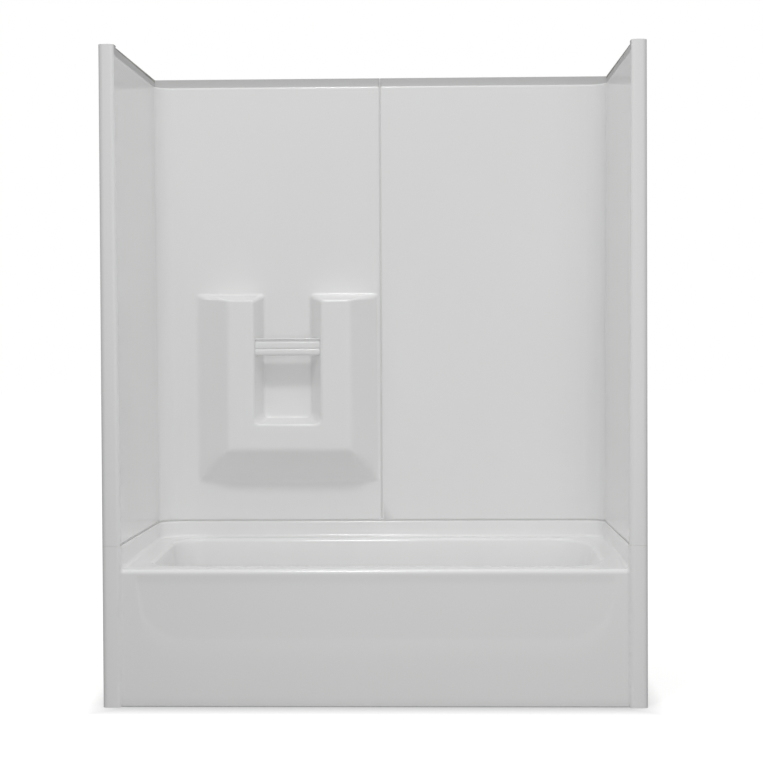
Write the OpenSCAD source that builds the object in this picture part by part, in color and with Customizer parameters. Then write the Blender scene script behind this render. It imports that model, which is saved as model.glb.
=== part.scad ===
// Tub and shower combo: a moulded gelcoat tub, a left wall with a shelf and a plain right wall.
// X runs to the right, Y to the back, Z up. The origin is at the middle of the base.

/* [Overall] */
// Width over the two front columns
unit_w = 1524; // [1460:1:1620]
// Depth from the front of the columns to the wall studs
unit_d = 762; // [720:1:860]
// Height from the floor to the top of the walls
unit_h = 1854; // [1780:1:2100]
// Thickness of every moulded skin
skin_t = 5; // [4:0.5:5.5]

/* [Walls] */
// Depth of the space behind the back wall face
back_gap = 22; // [20:0.5:30]
// Distance from the outer edge to the side wall face at the top
side_gap_top = 43.5; // [40:0.5:50]
// Distance from the outer edge to the side wall face at the tub
side_gap_joint = 51.5; // [46:0.5:56]
// How much further out each side wall stands at the front than at the back
wall_flare = 10; // [0:1:14]
// Radius of the two upright inside corners
corner_r = 60; // [40:1:90]
// Depth of the front columns from front to back
column_d = 42; // [36:1:60]
// Radius of the outer edge of a column
column_outer_r = 16; // [10:1:20]
// Radius of the inner edge of a column
column_inner_r = 12; // [8:1:16]
// Radius of the wall's edge at the seam and at the joint
lip_r = 6; // [6:0.5:8]
// Height of the set-back strip along the top of the walls
strip_h = 28; // [20:1:45]
// How far the strip is set back from the side walls
side_strip_set = 6; // [6:1:26]

/* [Tub] */
// Height of the tub, to the top of its flange
tub_h = 453; // [430:1:500]
// Height of the front rim
rim_h = 386; // [360:1:400]
// Radius of the front rim's edge
rim_r = 12; // [8:1:18]
// How far the apron stands back from the columns
apron_setback = 12; // [6:1:20]
// Width of the front rim, from the apron to the basin
front_rim_w = 80; // [60:1:110]
// Width of the ledge behind the basin
ledge_w = 60; // [48:1:80]
// Width of the deck at the drain end
drain_deck_w = 68; // [55:1:100]
// Width of the deck at the back rest end
rest_deck_w = 58; // [55:1:100]
// How much higher the deck is at the back than at the front
deck_rise_h = 18; // [4:1:22]
// Radius of the cove between the deck and the walls above it
cove_r = 10; // [8:1:26]
// Height of the basin's floor
floor_h = 45; // [38:1:80]
// Radius of the basin's upper edge
basin_lip_r = 10; // [8:1:20]
// Radius between the basin's floor and its walls
basin_floor_r = 45; // [30:1:70]
// Plan radius of the basin's corners at the drain end
drain_corner_r = 90; // [80:1:160]
// How far the two corners at the back rest end reach along the tub
rest_corner_run = 100; // [80:1:150]
// How far the back one of them reaches across the tub
rest_corner_r = 215; // [150:1:240]
// How far the front one of them reaches across the tub
rest_front_r = 150; // [110:1:240]
// Slope of the basin's drain end from upright, in degrees
drain_slope = 6; // [3:0.5:12]
// Slope of the back rest from upright, in degrees
rest_slope = 22; // [12:0.5:28]
// Slope of the basin's front and back from upright, in degrees
side_slope = 7; // [3:0.5:10]

/* [Apron panel] */
// How far the sunk panel lies behind the apron's face
panel_relief = 2; // [1.5:0.5:4]
// From the apron's left end to the sunk panel
panel_left = 36; // [30:1:120]
// From the apron's right end to the sunk panel
panel_right = 32; // [30:1:120]
// Height of the sunk panel's lower edge
panel_low = 112; // [80:1:140]
// Radius of the sunk panel's lower corners
panel_corner_r = 115; // [60:1:120]
// How much each side of the sunk panel leans in towards its foot
panel_lean = 20; // [5:1:40]

/* [Drain and overflow] */
// Diameter of the drain hole
drain_d = 52; // [46:0.5:56]
// From the unit's left edge to the drain
drain_x = 244; // [240:1:280]
// Diameter of the overflow hole
overflow_d = 58; // [50:0.5:64]
// Height of the overflow hole
overflow_h = 305; // [280:1:320]

/* [Shelf] */
// From the seam to the shelf's right edge on the wall
shelf_x = 10; // [8:1:30]
// Width of the shelf on the wall
shelf_w = 570; // [540:1:600]
// Height of the shelf's top at its front edge
shelf_top = 1152; // [1120:1:1250]
// How much higher the shelf's top is at the wall
shelf_top_rise = 19; // [0:1:30]
// Height of the shelf's lowest edge
shelf_low = 580; // [560:1:620]
// How far the shelf stands out of the wall
shelf_d = 90; // [70:1:110]
// Run of the shelf's left flank
shelf_flank_left = 105; // [80:1:115]
// Run of the shelf's right flank
shelf_flank_right = 82; // [60:1:90]
// Run of the shelf's sloping underside
shelf_under = 103; // [80:1:120]
// From the shelf's left edge to the slot, at the front
slot_x = 185; // [175:1:190]
// Width of the slot at the front
slot_w = 211; // [190:1:220]
// Width of the slot at the wall
slot_back_w = 149; // [120:1:160]
// How far the slot's left side leans in
slot_lean_left = 24; // [15:1:30]
// Height of the soap ledge at the front of the slot
slot_low = 764; // [740:1:800]
// How much higher the soap ledge is at the wall
slot_ledge_rise = 18; // [8:1:30]

/* [Bar] */
// Height of the middle of the bar
bar_h = 1006; // [960:1:1040]
// Height of the bar's body
bar_body_h = 42; // [30:1:50]
// Thickness of the bar from front to back
bar_t = 20; // [16:1:24]
// How far the bar stands behind the shelf's front
bar_setback = 12; // [2:1:16]
// Diameter of the bar's round ends
bar_end_d = 14; // [10:1:15]
// Length of each round end
bar_end_l = 22; // [18:1:26]

/* [Fasteners] */
// Diameter of the bolts
bolt_d = 6; // [5:0.5:6.5]
// Number of bolts along the seam
seam_bolt_count = 6; // [4:1:9]
// Number of bolts along each half of the back flange
back_bolt_count = 3; // [2:1:5]
// Number of bolts along each side flange
side_bolt_count = 3; // [2:1:5]
// Thickness of the sealing tape in the seam and the joint
tape_t = 3; // [2:0.5:4]
// How far the sealing tape lies behind the visible face
tape_inset = 5; // [4:0.5:7]

/* [Timber] */
// Thickness of the base board
board_t = 15; // [12:1:18]
// Thickness of the ribs behind the back wall
back_rib_t = 14; // [10:1:14]
// Thickness of the ribs behind the side walls
side_rib_t = 18; // [12:1:24]
// Width of every wall rib
rib_w = 60; // [40:1:70]
// Thickness of the timber rails and legs under the deck
rail_t = 18; // [12:1:22]
// Height of the rails under the deck
rail_h = 50; // [35:1:60]
// Width of the base runners
runner_w = 60; // [40:1:80]
// Gap between a timber piece and the skin that carries it
glue_gap = 0.3; // [0.2:0.1:0.5]

/* [Hidden] */
$fn = 48;

gelcoat = [0.93, 0.93, 0.93];
timber = [0.76, 0.62, 0.42];
zinc = [0.75, 0.76, 0.78];
tape_white = [0.8, 0.8, 0.79];

arc_steps = 6;
// How far a cut runs past the skin, and past a small fastener
over = 10;
cut = 1;
left = -unit_w / 2;
front = -unit_d / 2;
back = unit_d / 2;
wall_y = back - back_gap;
wall_hidden_y = wall_y + skin_t;
panel_foot = tub_h + tape_t;
wall_x_top = unit_w / 2 - side_gap_top;
wall_x_joint = unit_w / 2 - side_gap_joint;
side_draft = (wall_x_top - wall_x_joint) / (unit_h - panel_foot);
function wall_x(z) = wall_x_joint + side_draft * (z - panel_foot);
// How far in a side wall stands at y, from where it starts at the column
function flared(y) = let (y0 = front + column_inner_r) wall_flare * (y - y0) / (wall_y - corner_r - y0);
seam_half = tape_t / 2;

// Points of an arc round a centre, from angle a to angle b
function arc(c, r, a, b, steps = arc_steps) =
    [for (i = [0:steps]) let (t = a + (b - a) * i / steps) [c[0] + r * cos(t), c[1] + r * sin(t)]];
function reversed(list) = [for (i = [len(list) - 1:-1:0]) list[i]];
function mirrored(list) = [for (p = reversed(list)) [-p[0], p[1]]];
function lifted(list, z) = [for (p = list) [p[0], p[1], z]];

// Plan of the left column, on the visible face (o = 0) or on the hidden face (o = skin_t)
function column_plan(xw, o) = concat(
    [[left + o, front + column_d]],
    arc([left + column_outer_r, front + column_outer_r], column_outer_r - o, 180, 270),
    arc([-xw - column_inner_r, front + column_inner_r], column_inner_r - o, 270, 360));
function column_section(xw) = concat(column_plan(xw, 0), reversed(column_plan(xw, skin_t)));
// Plan of the left inside corner
function corner_plan(xw, o) = arc([-xw + wall_flare + corner_r, wall_y - corner_r], corner_r + o, 180, 90);
// Plan of the turned-back edge at the seam
function seam_plan(o) = concat(
    arc([-seam_half - lip_r, wall_y + lip_r], lip_r - o, 270, 360),
    [[-seam_half - o, back]]);
function wall_plan(xw, o) = concat(column_plan(xw, o), corner_plan(xw, o), seam_plan(o));
function wall_section(xw) = concat(wall_plan(xw, 0), reversed(wall_plan(xw, skin_t)));
function half_tub_plan(xw, o) = concat(column_plan(xw, o), corner_plan(xw, o));
function tub_plan(xw, o) = concat(half_tub_plan(xw, o), mirrored(half_tub_plan(xw, o)));
function tub_section(xw) = concat(tub_plan(xw, 0), reversed(tub_plan(xw, skin_t)));

// A solid skinned through rings that each have as many points. A ribbon is a ring that runs out along one
// face and back along the other, so its ends are closed by a strip of four-sided faces. A fan is a ring
// whose ends are closed by triangles about its first point
module loft(rings, ribbon = false, fan = false) {
    n = len(rings[0]);
    last = len(rings) - 1;
    points = [for (ring = rings) for (p = ring) p];
    sides = [for (k = [0:last - 1]) for (i = [0:n - 1]) let (j = (i + 1) % n)
        each [[k * n + i, (k + 1) * n + i, (k + 1) * n + j], [k * n + i, (k + 1) * n + j, k * n + j]]];
    foot = ribbon ? [for (i = [0:n / 2 - 2]) [i, i + 1, n - 2 - i, n - 1 - i]] :
        fan ? [for (i = [1:n - 2]) [0, i, i + 1]] : [[for (i = [0:n - 1]) i]];
    head = [for (face = foot) [for (i = reversed(face)) last * n + i]];
    polyhedron(points, concat(foot, head, sides), convexity = 10);
}

module block(x0, x1, y0, y1, z0, z1) {
    translate([x0, y0, z0]) cube([x1 - x0, y1 - y0, z1 - z0]);
}

// Basin

apron_y = front + apron_setback;
basin_front = apron_y + front_rim_w;
basin_back = wall_y - ledge_w;
basin_left = -wall_x_joint + drain_deck_w;
basin_right = wall_x_joint - rest_deck_w;
deck_y = apron_y + rim_r;
deck_tilt = deck_rise_h / (wall_y - deck_y);
function deck_z(y) = rim_h + deck_tilt * (y - deck_y);

// Quarter of an oval that reaches r[0] along x and r[1] along y, in the corner at p
function oval(p, r, sx, sy, a) =
    [for (q = arc([0, 0], 1, a, a + 90)) [p[0] + r[0] * (sx + q[0]), p[1] + r[1] * (sy + q[1])]];
// Closed plan ring with its own inset on each side and its own reach at each corner
function basin_plan(inset, reach) = let (
        x0 = basin_left + inset[0], x1 = basin_right - inset[1],
        y0 = basin_front + inset[2], y1 = basin_back - inset[3])
    concat(
        oval([x0, y0], reach[0], 1, 1, 180),
        oval([x1, y0], reach[1], -1, 1, 270),
        oval([x1, y1], reach[2], -1, -1, 0),
        oval([x0, y1], reach[3], 1, -1, 90));

basin_slopes = [drain_slope, rest_slope, side_slope, side_slope];
basin_corners = [[drain_corner_r, drain_corner_r], [rest_corner_run, rest_front_r],
    [rest_corner_run, rest_corner_r], [drain_corner_r, drain_corner_r]];
// Share of the inset that each corner's reach loses on the way down, and its least reach
corner_fall = 0.4;
least_corner_r = 20;
// Stations down the basin wall: how far in, how high, and how the skin's thickness lies there
lip_angles = [90, 60, 30, 0];
foot_angles = [0, 18, 36, 54, 72, 90];
basin_stations = concat(
    [for (a = lip_angles) [-basin_lip_r * (1 - cos(a)), rim_h - basin_lip_r * (1 - sin(a)), a]],
    [for (a = foot_angles) [basin_floor_r * (1 - cos(a)), floor_h + basin_floor_r * (1 - sin(a)), a]]);
function basin_ring(station, t) = let (
        depth = rim_h - station[1],
        drop = t * sin(station[2]),
        grow = t * cos(station[2]),
        inset = [for (s = basin_slopes) station[0] + depth * tan(s)],
        fall = corner_fall * (station[0] + depth * tan(side_slope)),
        reach = [for (c = basin_corners) [for (r = c) max(r - fall, least_corner_r) + grow]],
        share = (station[1] - floor_h) / (rim_h - floor_h),
        plan = basin_plan([for (d = inset) d - grow], reach))
    [for (p = plan) [p[0], p[1], station[1] - drop + share * (deck_z(p[1]) - rim_h)]];
// Outer edge of the deck, let into the walls that stand round it
let_in = skin_t / 2;
function deck_ring(drop) = let (
        x = wall_x_joint + let_in, y1 = wall_y + let_in, r = corner_r,
        plan = concat(
            arc([-x + let_in, deck_y + let_in], let_in, 180, 270),
            arc([x - let_in, deck_y + let_in], let_in, 270, 360),
            arc([x - wall_flare - r, y1 - r], r, 0, 90),
            arc([-x + wall_flare + r, y1 - r], r, 90, 180)))
    [for (p = plan) [p[0], p[1], deck_z(p[1]) - drop]];

module basin_and_deck() {
    count = len(basin_stations) - 1;
    inner = [for (k = [count:-1:0]) basin_ring(basin_stations[k], 0)];
    outer = [for (k = [0:count]) basin_ring(basin_stations[k], skin_t)];
    loft(reversed(concat(inner, [deck_ring(0), deck_ring(skin_t)], outer)));
}

// Tub

module joint_flange_plan() {
    x = wall_x_joint + let_in;
    inside = corner_plan(wall_x_joint, let_in);
    difference() {
        translate([left + let_in, front + column_d / 2])
            square([unit_w - skin_t, unit_d - column_d / 2]);
        polygon(concat([[-x, front - over]], inside, mirrored(inside), [[x, front - over]]));
    }
}

module tub_walls() {
    linear_extrude(tub_h) polygon(column_section(wall_x_joint));
    mirror([1, 0, 0]) linear_extrude(tub_h) polygon(column_section(wall_x_joint));
    foot = rim_h - skin_t;
    translate([0, 0, foot]) linear_extrude(tub_h - foot) polygon(tub_section(wall_x_joint));
    translate([0, 0, tub_h - skin_t]) linear_extrude(skin_t) joint_flange_plan();
}

// Cove along the foot of the three walls, swept along their plan
cove_angles = [0, 22.5, 45, 67.5, 90];
// How far the cove's two edges are sunk into the deck and the wall
cove_sink = 0.2;
module cove() {
    y_end = deck_y - rim_r / 3;
    path = concat([[-wall_x_joint, y_end]], corner_plan(wall_x_joint, 0),
        mirrored(corner_plan(wall_x_joint, 0)), [[wall_x_joint, y_end]]);
    last = len(path) - 1;
    function heading(i) = i == 0 ? [0, 1] : i == last ? [0, -1] :
        let (d = path[i + 1] - path[i - 1]) d / norm(d);
    function profile(i) = let (h = heading(i), inward = [h[1], -h[0]], p = path[i])
        concat(
            [let (q = p - inward * let_in) [q[0], q[1], deck_z(q[1]) - let_in]],
            [let (q = p + inward * (cove_r - cove_sink)) [q[0], q[1], deck_z(q[1]) - let_in]],
            [for (a = cove_angles) let (q = p + inward * (cove_r * (1 - sin(a)) - cove_sink))
                [q[0], q[1], deck_z(q[1]) + cove_r * (1 - cos(a)) - cove_sink]],
            [let (q = p - inward * let_in) [q[0], q[1], deck_z(q[1]) + cove_r - cove_sink]]);
    loft(reversed([for (i = [0:last]) profile(i)]), fan = true);
}

// Outline of the sunk panel on the apron, grown by g
module panel_outline(g = 0) {
    x0 = -wall_x_joint + panel_left - g;
    x1 = wall_x_joint - panel_right + g;
    z0 = panel_low - g;
    r = panel_corner_r + g;
    polygon(concat(
        [[x0, rim_h - rim_r]],
        arc([x0 + panel_lean + r, z0 + r], r, 180, 270),
        arc([x1 - panel_lean - r, z0 + r], r, 270, 360),
        [[x1, rim_h - rim_r]]));
}

module on_apron(y, t) {
    translate([0, y + t, 0]) rotate([90, 0, 0]) linear_extrude(t) children();
}

module apron() {
    half = wall_x_joint + skin_t / 2;
    difference() {
        union() {
            block(-half, half, apron_y, apron_y + skin_t, 0, rim_h - rim_r);
            on_apron(apron_y + cut, panel_relief + skin_t - cut) panel_outline(skin_t);
        }
        on_apron(apron_y - over, over + panel_relief) panel_outline();
    }
    rotate([90, 0, 90]) translate([0, 0, -half]) linear_extrude(2 * half) polygon(concat(
        arc([apron_y + rim_r, rim_h - rim_r], rim_r, 180, 90),
        [[deck_y + let_in, rim_h - let_in]],
        arc([apron_y + rim_r, rim_h - rim_r], rim_r - skin_t, 90, 180)));
    block(-half, half, apron_y, apron_y + column_d / 2, 0, skin_t);
}

drain_place = [left + drain_x, (basin_front + basin_back) / 2];
module drain_bore() {
    translate([drain_place[0], drain_place[1], floor_h - skin_t - over])
        cylinder(d = drain_d, h = skin_t + 2 * over);
}
// The overflow leans with the basin's end, so that its rim is square to the skin
overflow_x = basin_left + (rim_h - overflow_h) * tan(drain_slope);
module overflow_bore() {
    translate([overflow_x, drain_place[1], overflow_h]) rotate([0, 90 - drain_slope, 0])
        translate([0, 0, -skin_t - over]) cylinder(d = overflow_d, h = skin_t + 2 * over);
}

module tub_shell() color(gelcoat) {
    difference() {
        union() {
            basin_and_deck();
            tub_walls();
            cove();
            apron();
        }
        drain_bore();
        overflow_bore();
        for (p = joint_places) joint_hole_at(p, tub_h - skin_t);
    }
}

// Fasteners

washer_t = 1.5;
nut_h = 5;
head_h = 4;
washer_d = 2 * bolt_d + 1;
hex_d = 1.85 * bolt_d;
hole_d = bolt_d + 1;
nut_bore_d = bolt_d + 0.1;
thread_out = 3;
bolt_y = (wall_hidden_y + back) / 2;

function spread(a, b, n) = [for (i = [0:n - 1]) n == 1 ? (a + b) / 2 : a + (b - a) * i / (n - 1)];

// Bolts down through the wall flange and the tub flange, as plan places
bolt_end_gap = 60;
bolt_corner_gap = 20;
side_bolt_x = (wall_x_joint + skin_t + unit_w / 2 - let_in) / 2;
half_joint_places = concat(
    [for (x = spread(bolt_end_gap, wall_x_joint - corner_r - bolt_corner_gap, back_bolt_count)) [-x, bolt_y]],
    [for (y = spread(front + column_d + bolt_end_gap, wall_y - corner_r - bolt_corner_gap, side_bolt_count))
        [-side_bolt_x, y]]);
joint_places = concat(half_joint_places, [for (p = half_joint_places) [-p[0], p[1]]]);
module joint_hole_at(p, z, t = skin_t) {
    translate([p[0], p[1], z - cut]) cylinder(d = hole_d, h = t + 2 * cut);
}
joint_grip = 2 * skin_t + tape_t;
joint_top = panel_foot + skin_t;

// Bolts across the seam, as heights
seam_end_gap = 100;
seam_heights = spread(panel_foot + seam_end_gap, unit_h - strip_h - seam_end_gap, seam_bolt_count);
module across_seam(x) {
    for (z = seam_heights) translate([x, bolt_y, z]) rotate([0, 90, 0]) children();
}
seam_side = seam_half + skin_t;

module washer() {
    difference() {
        cylinder(d = washer_d, h = washer_t);
        translate([0, 0, -cut]) cylinder(d = hole_d, h = washer_t + 2 * cut);
    }
}
module nut() {
    difference() {
        cylinder(d = hex_d, h = nut_h, $fn = 6);
        translate([0, 0, -cut]) cylinder(d = nut_bore_d, h = nut_h + 2 * cut);
    }
}
// A bolt that points up, with the underside of its head at the origin
module bolt(grip) {
    translate([0, 0, -head_h]) cylinder(d = hex_d, h = head_h, $fn = 6);
    shank = grip + 2 * washer_t + nut_h + thread_out;
    translate([0, 0, -head_h / 2]) cylinder(d = bolt_d, h = head_h / 2 + shank);
}

module seam_bolts() color(zinc)
    mirror([1, 0, 0]) across_seam(-seam_side - washer_t) bolt(2 * seam_side);
module seam_washers() color(zinc) {
    across_seam(seam_side) washer();
    across_seam(-seam_side - washer_t) washer();
}
module seam_nuts() color(zinc)
    across_seam(-seam_side - washer_t - nut_h) nut();
module joint_bolts() color(zinc)
    for (p = joint_places) translate([p[0], p[1], joint_top + washer_t]) mirror([0, 0, 1]) bolt(joint_grip);
module joint_washers() color(zinc)
    for (p = joint_places) for (z = [joint_top, tub_h - skin_t - washer_t])
        translate([p[0], p[1], z]) washer();
module joint_nuts() color(zinc)
    for (p = joint_places) translate([p[0], p[1], tub_h - skin_t - washer_t - nut_h]) nut();

// Wall panels

strip_z = unit_h - strip_h;
// The strip starts from a web on the back of the column
web_y = front + column_d - cut;
web_t = 4;
// Plan of the strip on its visible face (o = 0) or on its hidden face (o = skin_t)
function strip_plan(o) = [
    [-wall_x_top - side_strip_set - o, web_y],
    [-wall_x_top - side_strip_set + wall_flare - o, back - skin_t + o],
    [-seam_half, back - skin_t + o]];

// Plan of one half's joint flange, from the wall out to the unit's outline
module half_flange_plan(inset, x_end) {
    difference() {
        translate([left + let_in, front + column_d / 2])
            square([-x_end - left - let_in, unit_d - column_d / 2]);
        polygon(concat([[-wall_x_joint - inset, front - over]], corner_plan(wall_x_joint, inset),
            [[over, wall_y + inset]], [[over, front - over]]));
    }
}

module panel_walls() {
    loft([lifted(wall_section(wall_x_joint), panel_foot), lifted(wall_section(wall_x_top), unit_h)],
        ribbon = true);
    translate([0, 0, panel_foot]) linear_extrude(skin_t) half_flange_plan(let_in, seam_half);
    translate([0, 0, tub_h]) linear_extrude(tape_t + let_in) polygon(column_section(wall_x_joint));
}

// The top of the walls steps back to a strip that is nailed to the studs
module top_strip() {
    translate([0, 0, strip_z - skin_t]) {
        linear_extrude(skin_t) difference() {
            polygon(concat(strip_plan(skin_t), [[-seam_half, web_y]]));
            polygon(concat([[-wall_x_top - let_in, web_y - over]], corner_plan(wall_x_top, let_in),
                [[over, wall_y + let_in]], [[over, web_y - over]]));
        }
        linear_extrude(strip_h + skin_t) polygon(concat(strip_plan(0), reversed(strip_plan(skin_t))));
    }
    block(-wall_x_top - side_strip_set - let_in, -wall_x_top - let_in, web_y - web_t, web_y + cut,
        strip_z - skin_t, unit_h);
}
module top_strip_cut() {
    block(left - over, over, web_y + cut, back + over, strip_z, unit_h + over);
}

module half_joint_holes() {
    for (p = half_joint_places) joint_hole_at(p, panel_foot);
}
module seam_holes(x) {
    across_seam(x - cut) cylinder(d = hole_d, h = skin_t + 2 * cut);
}

// Shelf: s is the distance out from the wall face, g is how far a face lies inside the shelf's own

shelf_right = -shelf_x;
shelf_left = -shelf_x - shelf_w;
function slant(run) = sqrt(1 + pow(run / shelf_d, 2));
function shelf_rect(s, g) = [
    shelf_left + shelf_flank_left * s / shelf_d + g * slant(shelf_flank_left),
    shelf_right - shelf_flank_right * s / shelf_d - g * slant(shelf_flank_right),
    shelf_low + shelf_under * s / shelf_d + g * slant(shelf_under),
    shelf_top + shelf_top_rise * (1 - s / shelf_d) - g * slant(shelf_top_rise)];
slot_open = shelf_top + shelf_top_rise + over;
slot_lean_right = slot_w - slot_back_w - slot_lean_left;
function slot_left(s) = shelf_left + slot_x + slot_lean_left * (1 - s / shelf_d);
function slot_right(s) = shelf_left + slot_x + slot_w - slot_lean_right * (1 - s / shelf_d);
function slot_floor(s) = slot_low + slot_ledge_rise * (1 - s / shelf_d);
function slot_rect(s, g) = [slot_left(s) - g, slot_right(s) + g, slot_floor(s) - g, slot_open];
function on_shelf(rect, s) = let (y = wall_y - s)
    [[rect[0], y, rect[2]], [rect[1], y, rect[2]], [rect[1], y, rect[3]], [rect[0], y, rect[3]]];

module shelf_body() {
    loft([for (s = [-let_in, shelf_d]) on_shelf(shelf_rect(s, 0), s)]);
}
module shelf_hollow() {
    loft([on_shelf(shelf_rect(0, skin_t), -skin_t - over),
        on_shelf(shelf_rect(0, skin_t), 0),
        on_shelf(shelf_rect(shelf_d - skin_t, skin_t), shelf_d - skin_t)]);
}
module slot(g, s_far) {
    loft([on_shelf(slot_rect(s_far, g), s_far), on_shelf(slot_rect(shelf_d + over, g), shelf_d + over)]);
}

bar_s = shelf_d - bar_setback - bar_t / 2;
bar_y = wall_y - bar_s;
bar_clear = 0.3;
module bar_hole() {
    translate([shelf_left, bar_y, bar_h]) rotate([0, 90, 0])
        cylinder(d = bar_end_d + 2 * bar_clear, h = shelf_w);
}

module left_wall_panel() color(gelcoat) {
    difference() {
        union() {
            difference() {
                union() {
                    panel_walls();
                    shelf_body();
                }
                top_strip_cut();
            }
            top_strip();
        }
        difference() {
            shelf_hollow();
            slot(skin_t, -skin_t - 2 * over);
        }
        slot(0, 0);
        intersection() {
            bar_hole();
            block(shelf_left + slot_x - 3 * skin_t, shelf_left + slot_x + slot_w + 3 * skin_t,
                bar_y - bar_end_d, bar_y + bar_end_d, bar_h - bar_end_d, bar_h + bar_end_d);
        }
        half_joint_holes();
        seam_holes(-seam_side);
    }
}

module right_wall_panel() color(gelcoat) {
    mirror([1, 0, 0]) difference() {
        union() {
            difference() {
                panel_walls();
                top_strip_cut();
            }
            top_strip();
        }
        half_joint_holes();
        seam_holes(-seam_side);
    }
}

// Bar: a body with two rounded bands and a thin fin above a groove
bar_back_s = shelf_d - bar_setback - bar_t;
bar_left = slot_left(bar_back_s) + bar_clear;
bar_right = slot_right(bar_back_s) - bar_clear;
band_r = bar_body_h / 4;
bar_fin_h = 12;
bar_fin_t = 4;
bar_groove_d = bar_t / 4;
module bar_profile() {
    for (z = [-band_r, band_r]) translate([band_r - bar_t / 2, z]) circle(band_r);
    translate([band_r - bar_t / 2, -bar_body_h / 2]) square([bar_t - band_r, bar_body_h]);
    translate([bar_groove_d - bar_t / 2, 0]) square([bar_t - bar_groove_d, bar_body_h / 2 + bar_fin_h]);
    translate([cut - bar_t / 2, bar_body_h / 2 + bar_fin_h - bar_fin_t]) square([bar_t - cut, bar_fin_t]);
}
module washcloth_bar() color(gelcoat) {
    intersection() {
        translate([slot_left(shelf_d), bar_y, bar_h - bar_fin_h / 2]) rotate([90, 0, 90])
            linear_extrude(slot_w) bar_profile();
        slot(-bar_clear, bar_back_s - over);
    }
    translate([bar_left - bar_end_l, bar_y, bar_h]) rotate([0, 90, 0])
        cylinder(d = bar_end_d, h = bar_right - bar_left + 2 * bar_end_l);
}

// Sealing tape

module seam_gasket() color(tape_white) difference() {
    union() {
        block(-seam_half, seam_half, wall_y + tape_inset, back - cut, panel_foot + skin_t, strip_z - cut);
        block(-seam_half, seam_half, back - skin_t + cut, back - cut, strip_z - 2 * cut, unit_h - cut);
    }
    across_seam(-tape_t) cylinder(d = hole_d, h = 2 * tape_t);
}
module joint_gasket() color(tape_white) difference() {
    translate([0, 0, tub_h]) linear_extrude(tape_t) difference() {
        half_flange_plan(tape_inset, 0);
        translate([left, front]) square([unit_w / 2, column_d + cut]);
    }
    for (p = half_joint_places) joint_hole_at(p, tub_h, tape_t);
}
module left_joint_gasket() joint_gasket();
module right_joint_gasket() mirror([1, 0, 0]) joint_gasket();

// Base

floor_under = floor_h - skin_t;
runner_h = floor_under - board_t;
flat_left = basin_left + basin_floor_r + (rim_h - floor_h) * tan(drain_slope);
flat_right = basin_right - basin_floor_r - (rim_h - floor_h) * tan(rest_slope);
flat_front = basin_front + basin_floor_r + (rim_h - floor_h) * tan(side_slope);
flat_back = basin_back - basin_floor_r - (rim_h - floor_h) * tan(side_slope);
// From the curve at the foot of the basin's walls to the edge of the board under its floor
board_in = 12;
board_x0 = flat_left + board_in;
board_x1 = flat_right - board_in;
board_y0 = flat_front + board_in;
board_y1 = flat_back - board_in;
// Half width of the notch that leaves the drain free
notch_gap = 10;
notch_half = drain_d + notch_gap;
notch_x = drain_place[0] + notch_half;

module base_board() color(timber) difference() {
    block(board_x0, board_x1, board_y0, board_y1, runner_h, floor_under);
    block(board_x0 - over, notch_x, drain_place[1] - notch_half, drain_place[1] + notch_half,
        runner_h - over, floor_under + over);
}
module runner(x0, y) color(timber) block(x0, board_x1, y - runner_w / 2, y + runner_w / 2, 0, runner_h);
module base_runner_front() runner(board_x0, board_y0 + runner_w / 2);
module base_runner_middle() runner(notch_x + over, drain_place[1]);
module base_runner_back() runner(board_x0, board_y1 - runner_w / 2);

// Apron backing

apron_board_t = 10;
apron_board_end = 60;
apron_board_gap = 30;
module apron_board() color(timber) {
    y = apron_y + panel_relief + skin_t + glue_gap;
    block(-wall_x_joint + panel_left + panel_lean + apron_board_end,
        wall_x_joint - panel_right - panel_lean - apron_board_end,
        y, y + apron_board_t, panel_low + apron_board_gap, rim_h - rail_h - 3 * rim_r);
}
cleat_h = 40;
cleat_t = 15;
cleat_end_gap = 20;
module apron_foot_cleat() color(timber) {
    y = apron_y + skin_t + glue_gap;
    half = wall_x_joint - cleat_end_gap;
    block(-half, half, y, y + cleat_t, skin_t, skin_t + cleat_h);
}

// Rails under the deck, which follow its fall, and the legs under them

module deck_rail(x0, x1, y0, y1) color(timber) {
    top = skin_t + glue_gap;
    rotate([90, 0, 90]) translate([0, 0, x0]) linear_extrude(x1 - x0) polygon([
        [y0, deck_z(y0) - top - rail_h], [y1, deck_z(y1) - top - rail_h],
        [y1, deck_z(y1) - top], [y0, deck_z(y0) - top]]);
}
// Middle of the free width under the deck, between the basin's skin and the walls
basin_skin = basin_lip_r + skin_t;
rim_rail_y = (apron_y + skin_t + basin_front - basin_skin - rail_t) / 2;
ledge_rail_y = (basin_back + basin_skin + wall_y - rail_t) / 2;
drain_rail_x = (basin_left - basin_skin - wall_x_joint - rail_t) / 2;
rest_rail_x = (basin_right + basin_skin + wall_x_joint - rail_t) / 2;
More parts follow.
